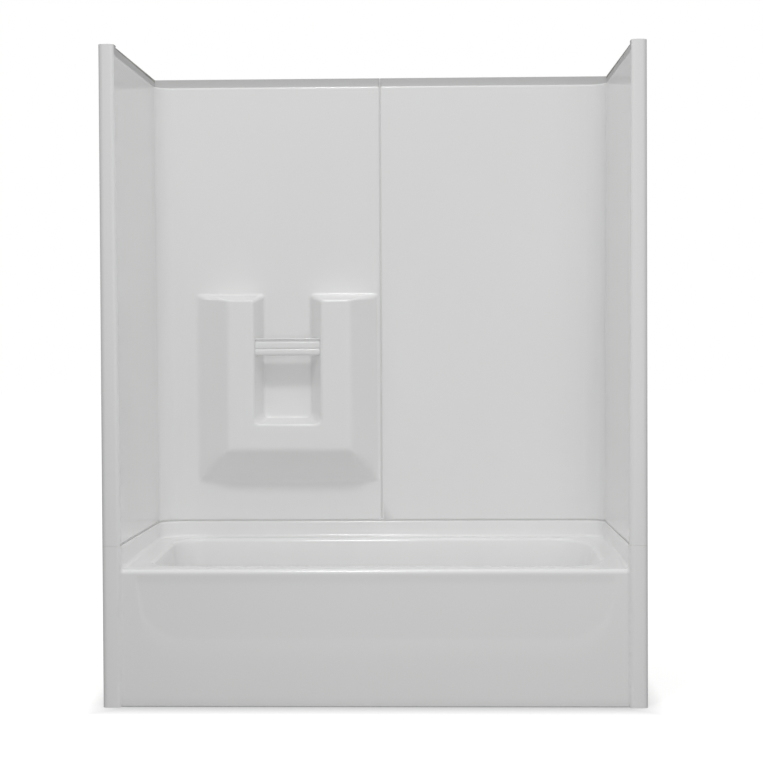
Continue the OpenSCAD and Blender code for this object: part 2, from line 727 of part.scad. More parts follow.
// From the tub's corners to the rails' ends
rail_end = 120;
module front_rim_rail()
    deck_rail(-wall_x_joint + rail_end, wall_x_joint - rail_end, rim_rail_y, rim_rail_y + rail_t);
module back_ledge_rail()
    deck_rail(-wall_x_joint + rail_end, wall_x_joint - rail_end, ledge_rail_y, ledge_rail_y + rail_t);
module drain_end_rail()
    deck_rail(drain_rail_x, drain_rail_x + rail_t, front + rail_end, wall_y - rail_end);
module rest_end_rail()
    deck_rail(rest_rail_x, rest_rail_x + rail_t, front + rail_end, wall_y - rail_end);
leg_w = 60;
ledge_leg_count = 4;
leg_gap = 0.1;
function leg_top(y) = deck_z(y) - skin_t - glue_gap - rail_h - leg_gap;
module deck_legs() color(timber) {
    for (x = spread(-wall_x_joint + rail_end, wall_x_joint - rail_end - leg_w, ledge_leg_count))
        block(x, x + leg_w, ledge_rail_y, ledge_rail_y + rail_t, 0, leg_top(ledge_rail_y));
    for (x = [drain_rail_x, rest_rail_x]) for (y = [front + rail_end, wall_y - rail_end - leg_w])
        block(x, x + rail_t, y, y + leg_w, 0, leg_top(y));
}

// Timber behind the walls

column_strip_t = 26;
module column_strip() color(timber) {
    x = left + skin_t + glue_gap;
    for (span = [[over, tub_h - skin_t - over], [panel_foot + skin_t + over, unit_h - skin_t - over]])
        block(x, x + column_strip_t, front + column_outer_r, web_y - web_t - glue_gap, span[0], span[1]);
}
module left_column_strip() column_strip();
module right_column_strip() mirror([1, 0, 0]) column_strip();

side_rib_count = 4;
side_rib_gap = 180;
rib_end_gap = 20;
side_rib_places = spread(panel_foot + side_rib_gap, unit_h - side_rib_gap, side_rib_count);
function rib_face(y, z) = flared(y) - wall_x(z) - skin_t - glue_gap;
module side_ribs() color(timber) {
    y0 = front + column_d + rib_end_gap;
    y1 = wall_y - corner_r - rib_end_gap;
    for (z = side_rib_places) loft([for (y = [y1, y0]) let (x0 = rib_face(y, z), x1 = rib_face(y, z + rib_w))
        [[x0 - side_rib_t, y, z], [x0, y, z], [x1, y, z + rib_w], [x1 - side_rib_t, y, z + rib_w]]]);
}
module left_side_ribs() side_ribs();
module right_side_ribs() mirror([1, 0, 0]) side_ribs();

rib_y = wall_hidden_y + glue_gap;
rib_foot = panel_foot + 2 * rib_end_gap;
rib_head = strip_z - 2 * rib_end_gap;
// Height of the cross rib over the shelf, and the gap between two ribs that meet
cross_rib_rise = 80;
cross_rib_gap = 2;
// From the seam to the ends of the ribs, past the bolts
seam_rib_gap = 40;
back_rib_count = 3;
corner_rib_x = wall_x_joint - corner_r;
module back_rib(x, z0, z1, w = rib_w) {
    block(x, x + w, rib_y, rib_y + back_rib_t, z0, z1);
}
module left_back_ribs() color(timber) {
    back_rib(-corner_rib_x, rib_foot, rib_head);
    cross_x = -corner_rib_x + rib_w + cross_rib_gap;
    for (z = [rib_foot, shelf_top + cross_rib_rise, rib_head - rib_w])
        back_rib(cross_x, z, z + rib_w, -seam_rib_gap - cross_x);
}
module right_back_ribs() color(timber) {
    for (x = spread(seam_rib_gap + rib_end_gap, corner_rib_x - rib_w, back_rib_count))
        back_rib(x, rib_foot, rib_head);
}
shelf_backing_t = 12;
module shelf_backing() color(timber) {
    y = wall_y - shelf_d + skin_t + glue_gap;
    block(shelf_left + shelf_flank_left + rib_end_gap, shelf_right - shelf_flank_right - rib_end_gap,
        y, y + shelf_backing_t, shelf_low + shelf_under + 2 * skin_t, slot_low - 2 * skin_t);
}

tub_shell();
left_wall_panel();
right_wall_panel();
washcloth_bar();
seam_gasket();
left_joint_gasket();
right_joint_gasket();
seam_bolts();
seam_washers();
seam_nuts();
joint_bolts();
joint_washers();
joint_nuts();
base_board();
base_runner_front();
base_runner_middle();
base_runner_back();
apron_board();
apron_foot_cleat();
front_rim_rail();
back_ledge_rail();
deck_legs();
drain_end_rail();
rest_end_rail();
left_column_strip();
right_column_strip();
left_side_ribs();
right_side_ribs();
left_back_ribs();
right_back_ribs();
shelf_backing();
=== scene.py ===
import math
import bmesh
import bpy
import numpy as np
from mathutils import Matrix, Vector
from mathutils.geometry import delaunay_2d_cdt

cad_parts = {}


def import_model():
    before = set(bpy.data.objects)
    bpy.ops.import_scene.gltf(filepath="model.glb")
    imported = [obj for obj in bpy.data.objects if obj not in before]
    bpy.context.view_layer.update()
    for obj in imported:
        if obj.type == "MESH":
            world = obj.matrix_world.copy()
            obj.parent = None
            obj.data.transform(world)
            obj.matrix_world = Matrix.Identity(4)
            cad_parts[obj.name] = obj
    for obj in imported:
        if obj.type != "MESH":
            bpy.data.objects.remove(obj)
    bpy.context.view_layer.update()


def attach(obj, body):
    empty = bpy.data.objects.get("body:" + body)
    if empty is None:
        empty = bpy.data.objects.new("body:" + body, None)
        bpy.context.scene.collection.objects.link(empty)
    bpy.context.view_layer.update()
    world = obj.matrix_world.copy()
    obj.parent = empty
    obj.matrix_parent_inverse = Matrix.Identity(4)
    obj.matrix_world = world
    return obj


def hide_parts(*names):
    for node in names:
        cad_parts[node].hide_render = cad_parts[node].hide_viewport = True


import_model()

# Sizes in millimetres, in the frame of the CAD: x to the right, y to the back wall, z up
MM = 0.001
SKIN = 5.0
LEFT, FRONT, BACK, TOP = -762.0, -381.0, 381.0, 1854.0
FLANGE_X = 759.5
WALL_Y = 359.0
WALL_X_TOP, WALL_X_JOINT, WALL_FLARE = 718.5, 710.5, 10.0
CORNER_R, CORNER_STEPS = 60.0, 14
CORNER_Y = WALL_Y - CORNER_R
CORNER_X_TOP, CORNER_X_JOINT = WALL_X_TOP - WALL_FLARE - CORNER_R, WALL_X_JOINT - WALL_FLARE - CORNER_R
COLUMN_D, COLUMN_OUTER_R, COLUMN_INNER_R = 42.0, 16.0, 12.0
INNER_TURN, OUTER_TURN, TURN_STEPS = COLUMN_INNER_R * math.pi / 2, COLUMN_OUTER_R * math.pi / 2, 7
TUB_TOP, PANEL_FOOT = 453.0, 456.0
RIM_Z, RIM_R = 386.0, 12.0
APRON_Y = -369.0
DECK_Y = APRON_Y + RIM_R
DECK_TILT = 18.0 / (WALL_Y - DECK_Y)
STRIP_X, STRIP_Y0, STRIP_Y1, STRIP_Z = 724.5, -339.0, 376.0, 1826.0
SEAM_HALF, LIP_R = 1.5, 6.0
LIP_X = -SEAM_HALF - LIP_R

# Angles of a quarter turn in six steps, and how far across a joint flange its rows lie
QUARTER = [math.radians(15 * k) for k in range(7)]
FLANGE_SHARES = (0.25, 0.6, 1.0)

# Marks of a moulding's faces: their places in its list of materials, each with its raw back after it
# The second mark is a dark band of painted shade along the top of the side walls, the third a darker,
# unpolished gelcoat that paints shade on the set-back strip
POLISHED, SHADE_BAND_MARK, UNPOLISHED_SHADED = 0, 2, 4


# Shapes, as distances that are negative inside the material

def round_join(a, b, r):
    """Two bodies together, with a hollow rounding of radius r where they meet."""
    return np.maximum(r, np.minimum(a, b)) - np.hypot(np.maximum(r - a, 0), np.maximum(r - b, 0))


def round_cut(a, b, r):
    """What two bodies share, with its edge rounded to radius r."""
    return np.minimum(-r, np.maximum(a, b)) + np.hypot(np.maximum(r + a, 0), np.maximum(r + b, 0))


def soft_step(low, high, value):
    t = np.clip((value - low) / (high - low), 0, 1)
    return t * t * (3 - 2 * t)


def settle(points, shape, rounds=7, reach=6.0):
    """Moves points along the slope of a shape until they lie on its surface."""
    probe, least_slope, tiny = 0.02, 0.2, 1e-9
    p = points.reshape(-1, 3).copy()
    for _ in range(rounds):
        value = shape(p)
        slope = np.empty_like(p)
        for axis in range(3):
            step = np.zeros(3)
            step[axis] = probe
            slope[:, axis] = (shape(p + step) - shape(p - step)) / (2 * probe)
        move = -(value / np.maximum((slope ** 2).sum(1), least_slope))[:, None] * slope
        length = np.linalg.norm(move, axis=1)
        move *= np.minimum(1, reach / np.maximum(length, tiny))[:, None]
        p += move
    return p.reshape(points.shape)


# Grids

def graded(a, b, near_a, near_b, far):
    """Positions from a to b: close over near_a and near_b at the two ends, at most far apart between them."""
    growth, most, slack = 1.8, 0.48, 0.2
    length = b - a

    def climb(reach):
        """Steps away from one end, each gap wider than the one before it."""
        if not reach:
            return [0.0]
        steps = [0.0, reach / 3, reach * 2 / 3, reach]
        gap = reach / 3
        while gap < far:
            gap *= growth
            steps.append(steps[-1] + gap)
        return [step for step in steps if step < length * most]

    first = climb(near_a)
    final = [length - step for step in climb(near_b)]
    gap = final[-1] - first[-1]
    count = max(1, math.ceil(gap / far - slack))
    middle = [first[-1] + gap * i / count for i in range(1, count)]
    return [a + s for s in first + middle + final[::-1]]


def chain(*stretches):
    """Joins graded stretches end to end into one list of positions."""
    line = []
    for stretch in stretches:
        line += [v for v in stretch if not line or v > line[-1] + 1e-6]
    return line


def arc(cx, cy, r, start, end, steps):
    angles = np.radians(np.linspace(start, end, steps + 1))
    return [(cx + r * math.cos(t), cy + r * math.sin(t)) for t in angles]


def circle(cx, cy, r, steps):
    return arc(cx, cy, r, 0, 360, steps)[:-1]


def inside(point, loop):
    """Whether a point lies inside a closed outline."""
    x, y = point
    hit = False
    for i in range(len(loop)):
        (x0, y0), (x1, y1) = loop[i - 1], loop[i]
        if (y0 > y) != (y1 > y) and x < (x1 - x0) * (y - y0) / (y1 - y0) + x0:
            hit = not hit
    return hit


def patch(outer, holes=(), inner=()):
    """Triangles that fill a flat outline round its holes and through the inner points."""
    points = [Vector(p) for p in outer]
    rings = [list(range(len(outer)))]
    for hole in holes:
        rings.append(list(range(len(points), len(points) + len(hole))))
        points += [Vector(p) for p in hole]
    points += [Vector(p) for p in inner]
    edges = [(ring[i - 1], ring[i]) for ring in rings for i in range(len(ring))]
    same_spot = 1e-5
    made, _, faces, *_ = delaunay_2d_cdt(points, edges, [], 0, same_spot)
    keep = []
    for face in faces:
        middle = sum((made[i] for i in face), Vector((0, 0))) / len(face)
        if inside(middle, outer) and not any(inside(middle, hole) for hole in holes):
            keep.append(tuple(face))
    return np.array([(p.x, p.y) for p in made]), keep


class Skin:
    """The surface of one form, gathered from grids and patches of points in millimetres."""

    def __init__(self):
        self.points, self.faces, self.marks, self.count = [], [], [], 0

    def add(self, points, faces, mark=POLISHED):
        self.points.append(np.array(points, float).reshape(-1, 3))
        self.faces += [tuple(self.count + i for i in face) for face in faces]
        self.marks += [mark] * len(faces)
        self.count += len(self.points[-1])

    def add_grid(self, grid, closed=False, mark=POLISHED):
        """Faces between the rows of a grid. The rows of a closed one are rings."""
        rows, columns = grid.shape[:2]
        across = columns if closed else columns - 1
        faces = []
        for i in range(rows - 1):
            for j in range(across):
                k = (j + 1) % columns
                faces.append((i * columns + j, i * columns + k, (i + 1) * columns + k, (i + 1) * columns + j))
        self.add(grid, faces, mark)

    def add_bar(self, rings):
        """A closed form from rings along it, with one face over each end."""
        self.add_grid(np.array(rings), closed=True)
        for ring in (rings[0], rings[-1]):
            self.add(ring, [tuple(range(len(ring)))])

    def mesh(self, name, probe, facing):
        """One mesh in metres. The face nearest to the probe point looks the facing way."""
        same_spot = 0.00004
        mesh = bpy.data.meshes.new(name)
        mesh.from_pydata((np.concatenate(self.points) * MM).tolist(), [], self.faces)
        mesh.polygons.foreach_set("material_index", self.marks)
        bm = bmesh.new()
        bm.from_mesh(mesh)
        bmesh.ops.remove_doubles(bm, verts=bm.verts, dist=same_spot)
        bmesh.ops.dissolve_degenerate(bm, edges=bm.edges, dist=same_spot / 2)
        bmesh.ops.recalc_face_normals(bm, faces=bm.faces)
        target = Vector(probe) * MM
        nearest = min(bm.faces, key=lambda f: (f.calc_center_median() - target).length_squared)
        if nearest.normal.dot(Vector(facing)) < 0:
            bmesh.ops.reverse_faces(bm, faces=bm.faces)
        bm.to_mesh(mesh)
        bm.free()
        return mesh


# Plan of the walls

def wall_x(z):
    """Distance of the side walls from the middle, beside the columns: they lean out from the joint up."""
    t = np.clip((z - PANEL_FOOT) / (TOP - PANEL_FOOT), 0, 1)
    return WALL_X_JOINT + (WALL_X_TOP - WALL_X_JOINT) * t


def flared(y):
    """How much closer to the middle a side wall stands at y than beside its column."""
    start = FRONT + COLUMN_INNER_R
    return WALL_FLARE * np.clip((y - start) / (CORNER_Y - start), 0, 1)


def strip_x(y):
    """Where the set-back strip of the left wall lies at y."""
    return WALL_FLARE * (y - STRIP_Y0) / (STRIP_Y1 - STRIP_Y0) - STRIP_X


def column_point(h, xw):
    """Place on the left column, h millimetres round it from its inner edge, with the wall at xw."""
    flat = -LEFT - COLUMN_OUTER_R - xw - COLUMN_INNER_R
    if h <= 0:
        return -xw, FRONT + COLUMN_INNER_R - h
    if h <= INNER_TURN:
        t = h / COLUMN_INNER_R
        return (-xw - COLUMN_INNER_R * (1 - math.cos(t)), FRONT + COLUMN_INNER_R * (1 - math.sin(t)))
    if h <= INNER_TURN + flat:
        return -xw - COLUMN_INNER_R - (h - INNER_TURN), FRONT
    if h <= INNER_TURN + flat + OUTER_TURN:
        t = (h - INNER_TURN - flat) / COLUMN_OUTER_R
        return (LEFT + COLUMN_OUTER_R * (1 - math.sin(t)), FRONT + COLUMN_OUTER_R * (1 - math.cos(t)))
    return LEFT, FRONT + COLUMN_OUTER_R + (h - INNER_TURN - flat - OUTER_TURN)


def column_length(xw):
    """Way round the left column, from its inner edge to the back of its outer side."""
    return ((COLUMN_INNER_R + COLUMN_OUTER_R) * math.pi / 2 - LEFT - COLUMN_OUTER_R - xw - COLUMN_INNER_R
            + COLUMN_D - COLUMN_OUTER_R)


def square_corner(arc_points, corner, side_x):
    """Spots on the two sides of a sharp outer corner, one for each point round the inside corner."""
    ends = (side_x, CORNER_Y), (arc_points[-1][0], corner[1])
    half = len(arc_points) // 2
    spots = []
    for i in range(len(arc_points)):
        if i <= half:
            a, b, t = ends[0], corner, i / half
        else:
            a, b, t = corner, ends[1], (i - half) / (len(arc_points) - 1 - half)
        spots.append((a[0] + (b[0] - a[0]) * t, a[1] + (b[1] - a[1]) * t))
    return spots


# Tub

DRAIN_END_W, REST_END_W, FRONT_RIM_W, LEDGE_W = 68.0, 58.0, 80.0, 60.0
BASIN_LEFT, BASIN_RIGHT = -WALL_X_JOINT + DRAIN_END_W, WALL_X_JOINT - REST_END_W
BASIN_FRONT, BASIN_BACK = APRON_Y + FRONT_RIM_W, WALL_Y - LEDGE_W
MID_Y = (BASIN_FRONT + BASIN_BACK) / 2
FLOOR_Z, LIP, FOOT_R = 45.0, 10.0, 45.0
DRAIN_SLOPE, REST_SLOPE, SIDE_SLOPE = 6, 22, 7
SLOPES = [math.tan(math.radians(a)) for a in (DRAIN_SLOPE, REST_SLOPE, SIDE_SLOPE, SIDE_SLOPE)]

# How far the basin's corners are rounded along it and across it, and the steps round them and between them
BASIN_CORNERS = ((90, 90), (100, 150), (100, 215), (90, 90))
BASIN_TURN, LONG_STEPS, SHORT_STEPS = 18, 14, 5

# The drain's place, and the radius and depth of each ring of its dish
DRAIN = (LEFT + 244, MID_Y)
DRAIN_DISH = ((46, 0), (43, 0.1), (40, 0.5), (36, 1.1), (32, 1.5), (26, 1.8))
OVERFLOW_R, OVERFLOW_Z = 29.0, 305.0
OVERFLOW_X = BASIN_LEFT + (RIM_Z - OVERFLOW_Z) * SLOPES[0]

# The sunk panel of the apron, and the small steps and radii where the deck, walls and floor meet
PANEL_X0, PANEL_X1, PANEL_Z, PANEL_R, PANEL_LEAN = -674.5, 678.5, 112.0, 115.0, 20.0
PANEL_RELIEF, PANEL_EDGE, PANEL_FADE, PANEL_FADE_H = 2.0, 11.0, 150.0, 160.0
COVE_STEPS = [0, 1.2, 2.5, 4, 5.7, 7.6, 10, 13]
COVE_R_APRON, COVE_R_DECK = 7, 10
APRON_FOOT_R = 4


def deck_z(y):
    """Height of the deck, which rises from the rim to the walls."""
    return RIM_Z + DECK_TILT * (y - DECK_Y)


def apron_relief(x, z):
    """How far the apron's sunk panel lies back, with its edge, which is softer at the bottom."""
    height = RIM_Z - RIM_R - PANEL_Z - PANEL_R
    slant = math.hypot(height, PANEL_LEAN)

    def past(edge, side):
        return ((edge - x) * side * height - (RIM_Z - RIM_R - z) * -PANEL_LEAN) / slant
    left = past(PANEL_X0, 1)
    right = past(PANEL_X1, -1)
    outline = round_cut(round_cut(left, right, 5.0), PANEL_Z - z, PANEL_R)
    edge = PANEL_EDGE + PANEL_FADE * soft_step(PANEL_Z + PANEL_FADE_H, PANEL_Z, z)
    return PANEL_RELIEF * soft_step(0, edge, -outline) * soft_step(RIM_Z - RIM_R, RIM_Z - 40, z)


def tub_shape(p):
    """The tub's apron, rim, deck, walls and columns as one body."""
    x, y, z = p.T
    side = round_cut(WALL_X_JOINT - flared(y) - np.abs(x), FRONT - y, COLUMN_INNER_R)
    walls = round_join(side, WALL_Y - y, CORNER_R)
    front = APRON_Y + apron_relief(x, z) - y
    body = round_cut((z - deck_z(y)) / math.hypot(1, DECK_TILT), front, RIM_R)
    # The cove is tighter beside the apron than over the deck
    cove = COVE_R_APRON + (COVE_R_DECK - COVE_R_APRON) * soft_step(RIM_Z - 20, RIM_Z + 6, z)
    return round_join(body, walls, cove)


def deck_and_apron(skin):
    """The apron and the rim, with close rows and columns where the edge of the sunk panel runs."""
    close = 3.5
    edge = [-WALL_X_JOINT + s for s in COVE_STEPS]
    left = chain(edge, list(np.arange(-685, -535, close)), graded(-535, 0, 0, 0, 40))
    right = chain(graded(0, 540, 0, 0, 40), list(np.arange(540, 690, close)), [-v for v in edge[::-1]])
    across = chain(left, right)
    foot = [(-348, 0), (-356, 0), (-365, 0)]
    foot += arc(APRON_Y + APRON_FOOT_R, APRON_FOOT_R, APRON_FOOT_R, 270, 180, 4)[1:]
    heights = chain(graded(APRON_FOOT_R, 100, 0, 0, 24), list(np.arange(100, 236, close)),
                    graded(236, RIM_Z - RIM_R - 4, 0, 0, 9), [RIM_Z - RIM_R])
    rise = [(APRON_Y, z) for z in heights[1:]]
    rim = arc(DECK_Y, RIM_Z - RIM_R, RIM_R, 180, 90, 10)[1:]
    grid = np.array([[(x, y, z) for x in across] for y, z in foot + rise + rim])
    upper = len(foot)
    grid[upper:] = settle(grid[upper:], tub_shape)
    skin.add_grid(grid)
    return across, rise, rim


def column_face(skin, rise, rim):
    """The left column's foot, filled flat round the end of the rim, then bent round, and its mirror image."""
    wall_steps = [deck_z(DECK_Y) + s for s in COVE_STEPS] + [424, 438, TUB_TOP]
    inner = [(0.0, z) for z in wall_steps[::-1]] + [(DECK_Y - y, z) for y, z in rim[:-1][::-1]]
    inner += [(DECK_Y - y, z) for y, z in rise[::-1]]
    inner.append((RIM_R, 0.0))
    end = column_length(WALL_X_JOINT) + RIM_R
    outer_start = end - (COLUMN_D - COLUMN_OUTER_R) - OUTER_TURN
    turn_in = [RIM_R + INNER_TURN * k / TURN_STEPS for k in range(1, TURN_STEPS + 1)]
    turn_out = [outer_start + OUTER_TURN * k / TURN_STEPS for k in range(TURN_STEPS + 1)]
    across = turn_in + [(turn_in[-1] + outer_start) / 2] + turn_out
    over_rim = [3, 6, 9]
    # Close rows where the rim ends on the column
    heights = chain(graded(0, 300, 0, 0, 30), graded(300, 352, 0, 0, 12), list(np.arange(352, 410, 2.5)),
                    graded(410, TUB_TOP, 0, 0, 10))
    spots = [(h, z) for h in across for z in heights[1:-1]]
    spots += [(h, z) for h in over_rim for z in heights if RIM_Z + 4 < z < TUB_TOP - 1]
    loop = inner + [(h, 0.0) for h in across] + [(end, z) for z in heights]
    loop += [(h, TUB_TOP) for h in (over_rim + across)[::-1]]
    flat, faces = patch(loop, inner=[s for s in spots if inside(s, loop)])
    place = [column_point(h - RIM_R, WALL_X_JOINT) for h, _ in flat]
    points = np.array([(x, y, z) for (x, y), (_, z) in zip(place, flat)])
    settled_h = 46
    near = (flat[:, 0] < settled_h) & (flat[:, 1] < TUB_TOP - 1) & (flat[:, 1] > 2)
    points[near] = settle(points[near], tub_shape)
    skin.add(points, faces)
    skin.add(points * (-1, 1, 1), faces)
    return wall_steps


def both_halves(line):
    """A line of the left half, and its mirror image after it."""
    return line + [(-x, y) for x, y in line[:-1][::-1]]


def tub_walls(skin, wall_steps):
    """Deck edge, cove, wall and joint flange, swept round the three walls."""
    side = [(flared(y) - WALL_X_JOINT, y) for y in graded(DECK_Y, CORNER_Y, 6, 0, 36)][:-1]
    corner = arc(-CORNER_X_JOINT, CORNER_Y, CORNER_R, 180, 90, CORNER_STEPS)
    back = [(x, WALL_Y) for x in graded(-CORNER_X_JOINT, 0, 0, 0, 40)][1:]
    path = both_halves(side + corner + back)
    outline = both_halves([(-FLANGE_X, y) for _, y in side]
                          + square_corner(corner, (-FLANGE_X, BACK), -FLANGE_X)
                          + [(x, BACK) for x, _ in back])
    heading = both_halves([(1.0, 0.0)] * len(side)
                          + [((-CORNER_X_JOINT - x) / CORNER_R, (CORNER_Y - y) / CORNER_R)
                             for x, y in corner]
                          + [(0.0, -1.0)] * len(back))
    rows = []
    for s in COVE_STEPS[::-1]:
        moved = [(x + s * hx, y + s * hy) for (x, y), (hx, hy) in zip(path, heading)]
        rows.append([(x, y, deck_z(y)) for x, y in moved])
    level_from = 50
    for z in wall_steps[1:-1]:
        rise = max(0, 1 - (z - RIM_Z) / level_from)
        rows.append([(x, y, z + (deck_z(y) - RIM_Z) * rise) for x, y in path])
    body = settle(np.array(rows), tub_shape)
    edge_r, edge_fade = 5.5, 22
    edge = []
    for angle in QUARTER:
        row = []
        for (x, y), (hx, hy) in zip(path, heading):
            r = edge_r * float(soft_step(0, edge_fade, y - DECK_Y))
            out = r * (1 - math.cos(angle))
            row.append((x - hx * out, y - hy * out, TUB_TOP - r + r * math.sin(angle)))
        edge.append(row)
    flange = []
    for t in FLANGE_SHARES:
        flange.append([(x + (ox - x) * t, y + (oy - y) * t, TUB_TOP)
                       for (x, y, _), (ox, oy) in zip(edge[-1], outline)])
    skin.add_grid(np.concatenate([body, np.array(edge), np.array(flange)]))
    return [tuple(p[:2]) for p in body[0]]


def basin_ring(inset, z):
    """The basin's outline at height z, moved in by inset, tilted less and less with the deck."""
    depth = RIM_Z - z
    left, right, front, back = [inset + depth * s for s in SLOPES]
    fall = 0.4 * (inset + depth * SLOPES[2])
    x0, x1, y0, y1 = BASIN_LEFT + left, BASIN_RIGHT - right, BASIN_FRONT + front, BASIN_BACK - back
    ring = []
    corners = ((x0, y0, 1, 1, 180), (x1, y0, -1, 1, 270), (x1, y1, -1, -1, 0), (x0, y1, 1, -1, 90))
    for (x, y, sx, sy, start), reach in zip(corners, BASIN_CORNERS):
        run, width = [max(r - fall, 20) for r in reach]
        turn = arc(0, 0, 1, start, start + 90, BASIN_TURN)
        ring += [(x + run * (sx + u), y + width * (sy + v)) for u, v in turn]
    plan = []
    for k in range(len(ring)):
        a, b = ring[k], ring[(k + 1) % len(ring)]
        count = 1
        if k % (BASIN_TURN + 1) == BASIN_TURN:
            count = LONG_STEPS if abs(a[0] - b[0]) > abs(a[1] - b[1]) else SHORT_STEPS
        plan += [(a[0] + (b[0] - a[0]) * i / count, a[1] + (b[1] - a[1]) * i / count) for i in range(count)]
    share = (z - FLOOR_Z) / (RIM_Z - FLOOR_Z)
    return [(x, y, z + share * (deck_z(y) - RIM_Z)) for x, y in plan]


def basin(skin, deck_front, deck_edge):
    """The basin's lip, slopes and foot, the deck round its mouth, and its floor round the drain."""
    lip_steps, foot_steps = 7, 12
    rings = []
    for k in range(lip_steps + 1):
        a = math.radians(90 - 90 * k / lip_steps)
        rings.append(basin_ring(-LIP * (1 - math.cos(a)), RIM_Z - LIP * (1 - math.sin(a))))
    for z in np.linspace(RIM_Z - LIP, FLOOR_Z + FOOT_R, 12)[1:-1]:
        rings.append(basin_ring(0, z))
    for k in range(foot_steps + 1):
        a = math.radians(90 * k / foot_steps)
        rings.append(basin_ring(FOOT_R * (1 - math.cos(a)), FLOOR_Z + FOOT_R * (1 - math.sin(a))))
    skin.add_grid(np.array(rings), closed=True)
    deck_half = WALL_X_JOINT - COVE_STEPS[-1] - 0.1
    outer = deck_edge + [(x, DECK_Y) for x in deck_front[::-1] if abs(x) < deck_half]
    mouth = [(x, y) for x, y, _ in rings[0]]
    flat, faces = patch(outer, holes=[mouth])
    skin.add([(x, y, deck_z(y)) for x, y in flat], faces)
    foot = [(x, y) for x, y, _ in rings[-1]]
    dish = [[(x, y, FLOOR_Z - drop) for x, y in circle(*DRAIN, r, 48)] for r, drop in DRAIN_DISH]
    flat, faces = patch(foot, holes=[[(x, y) for x, y, _ in dish[0]]])
    skin.add([(x, y, FLOOR_Z) for x, y in flat], faces)
    skin.add_grid(np.array(dish), closed=True)


def tub_mesh():
    skin = Skin()
    across, rise, rim = deck_and_apron(skin)
    wall_steps = column_face(skin, rise, rim)
    deck_edge = tub_walls(skin, wall_steps)
    basin(skin, across, deck_edge)
    return skin.mesh("tub", (0, APRON_Y, 200), (0, -1, 0))


# Wall panels

SHELF_D = 90.0
SHELF_X0, SHELF_X1, SHELF_Z0, SHELF_Z1 = -580.0, -10.0, 580.0, 1152.0
FLANK_LEFT, FLANK_RIGHT, UNDER, TOP_RISE = 105.0, 82.0, 103.0, 19.0
SLOT_X0, SLOT_X1, SLOT_LEAN_LEFT, SLOT_LEAN_RIGHT = -395.0, -184.0, 24.0, 38.0
SLOT_Z, SLOT_RISE = 764.0, 18.0
FLANK_EDGE_R, SHELF_EDGE_R, SLOT_EDGE_R, SLOT_FOOT_R = 5, 6, 10, 18
SHELF_TOP_STEPS = (0.02, 0.045, 0.08, 0.15, 0.3, 0.5, 0.7, 0.85, 0.93, 0.965, 0.999)
JOINT_R, COLUMN_GAP = 6.0, 0.3


def plane(u, s, u0, run):
    """Distance past a slanted shelf face from u0 on the wall, that runs inward by run on its way out."""
    return ((u0 - u) * SHELF_D + s * run) / math.hypot(SHELF_D, run)


def shelf_shape(x, z, s):
    """The shelf at distance s from the wall, with its slot and its slanted top."""
    flanks = plane(x, s, SHELF_X0, FLANK_LEFT), plane(-x, s, -SHELF_X1, FLANK_RIGHT)
    sides = round_cut(*flanks, FLANK_EDGE_R)
    sides = round_cut(sides, plane(z, s, SHELF_Z0, UNDER), FLANK_EDGE_R)
    sides = round_cut(sides, s - SHELF_D, SHELF_EDGE_R)
    slot = round_cut(plane(x, SHELF_D - s, SLOT_X0, SLOT_LEAN_LEFT),
                     plane(-x, SHELF_D - s, -SLOT_X1, SLOT_LEAN_RIGHT), SLOT_EDGE_R)
    slot = round_cut(slot, plane(z, SHELF_D - s, SLOT_Z, SLOT_RISE), SLOT_FOOT_R)
    capped = round_cut(plane(-z, s, -SHELF_Z1 - TOP_RISE, TOP_RISE), -slot, SLOT_EDGE_R)
    return round_cut(capped, sides, SHELF_EDGE_R)


def shelf_depth(x, z):
    """Distance of the shelf's faces from the wall, before their edges are rounded."""
    block = np.minimum.reduce([(x - SHELF_X0) * SHELF_D / FLANK_LEFT,
                               (SHELF_X1 - x) * SHELF_D / FLANK_RIGHT,
                               (z - SHELF_Z0) * SHELF_D / UNDER, np.full_like(x, SHELF_D)])
    slot = np.maximum.reduce([SHELF_D - (x - SLOT_X0) * SHELF_D / SLOT_LEAN_LEFT,
                              SHELF_D - (SLOT_X1 - x) * SHELF_D / SLOT_LEAN_RIGHT,
                              SHELF_D - (z - SLOT_Z) * SHELF_D / SLOT_RISE, np.zeros_like(x)])
    return np.clip(np.minimum(block, slot), 0, SHELF_D)


def strip_recess(x, y, z):
    """The space in front of the set-back strip that runs round the top of all three walls."""
    hollow = round_cut(round_cut(STRIP_Z - z, strip_x(y) - x, 4), y - STRIP_Y1, 4)
    return np.maximum(hollow, STRIP_Y0 - y)


def panel_shape(p, with_shelf):
    """The left wall panel's walls, with or without the shelf, up to the strip and the lip at the seam."""
    x, y, z = p.T
    s = WALL_Y - y
    wall = round_join(x + wall_x(z) - flared(y), s, CORNER_R)
    if with_shelf:
        # The cove round the shelf is tighter beside the seam
        wall = round_join(shelf_shape(x, z, s), wall, 4 + 2 * soft_step(-40, -90, x))
    return round_cut(round_cut(wall, -strip_recess(x, y, z), 4), x + SEAM_HALF, LIP_R)


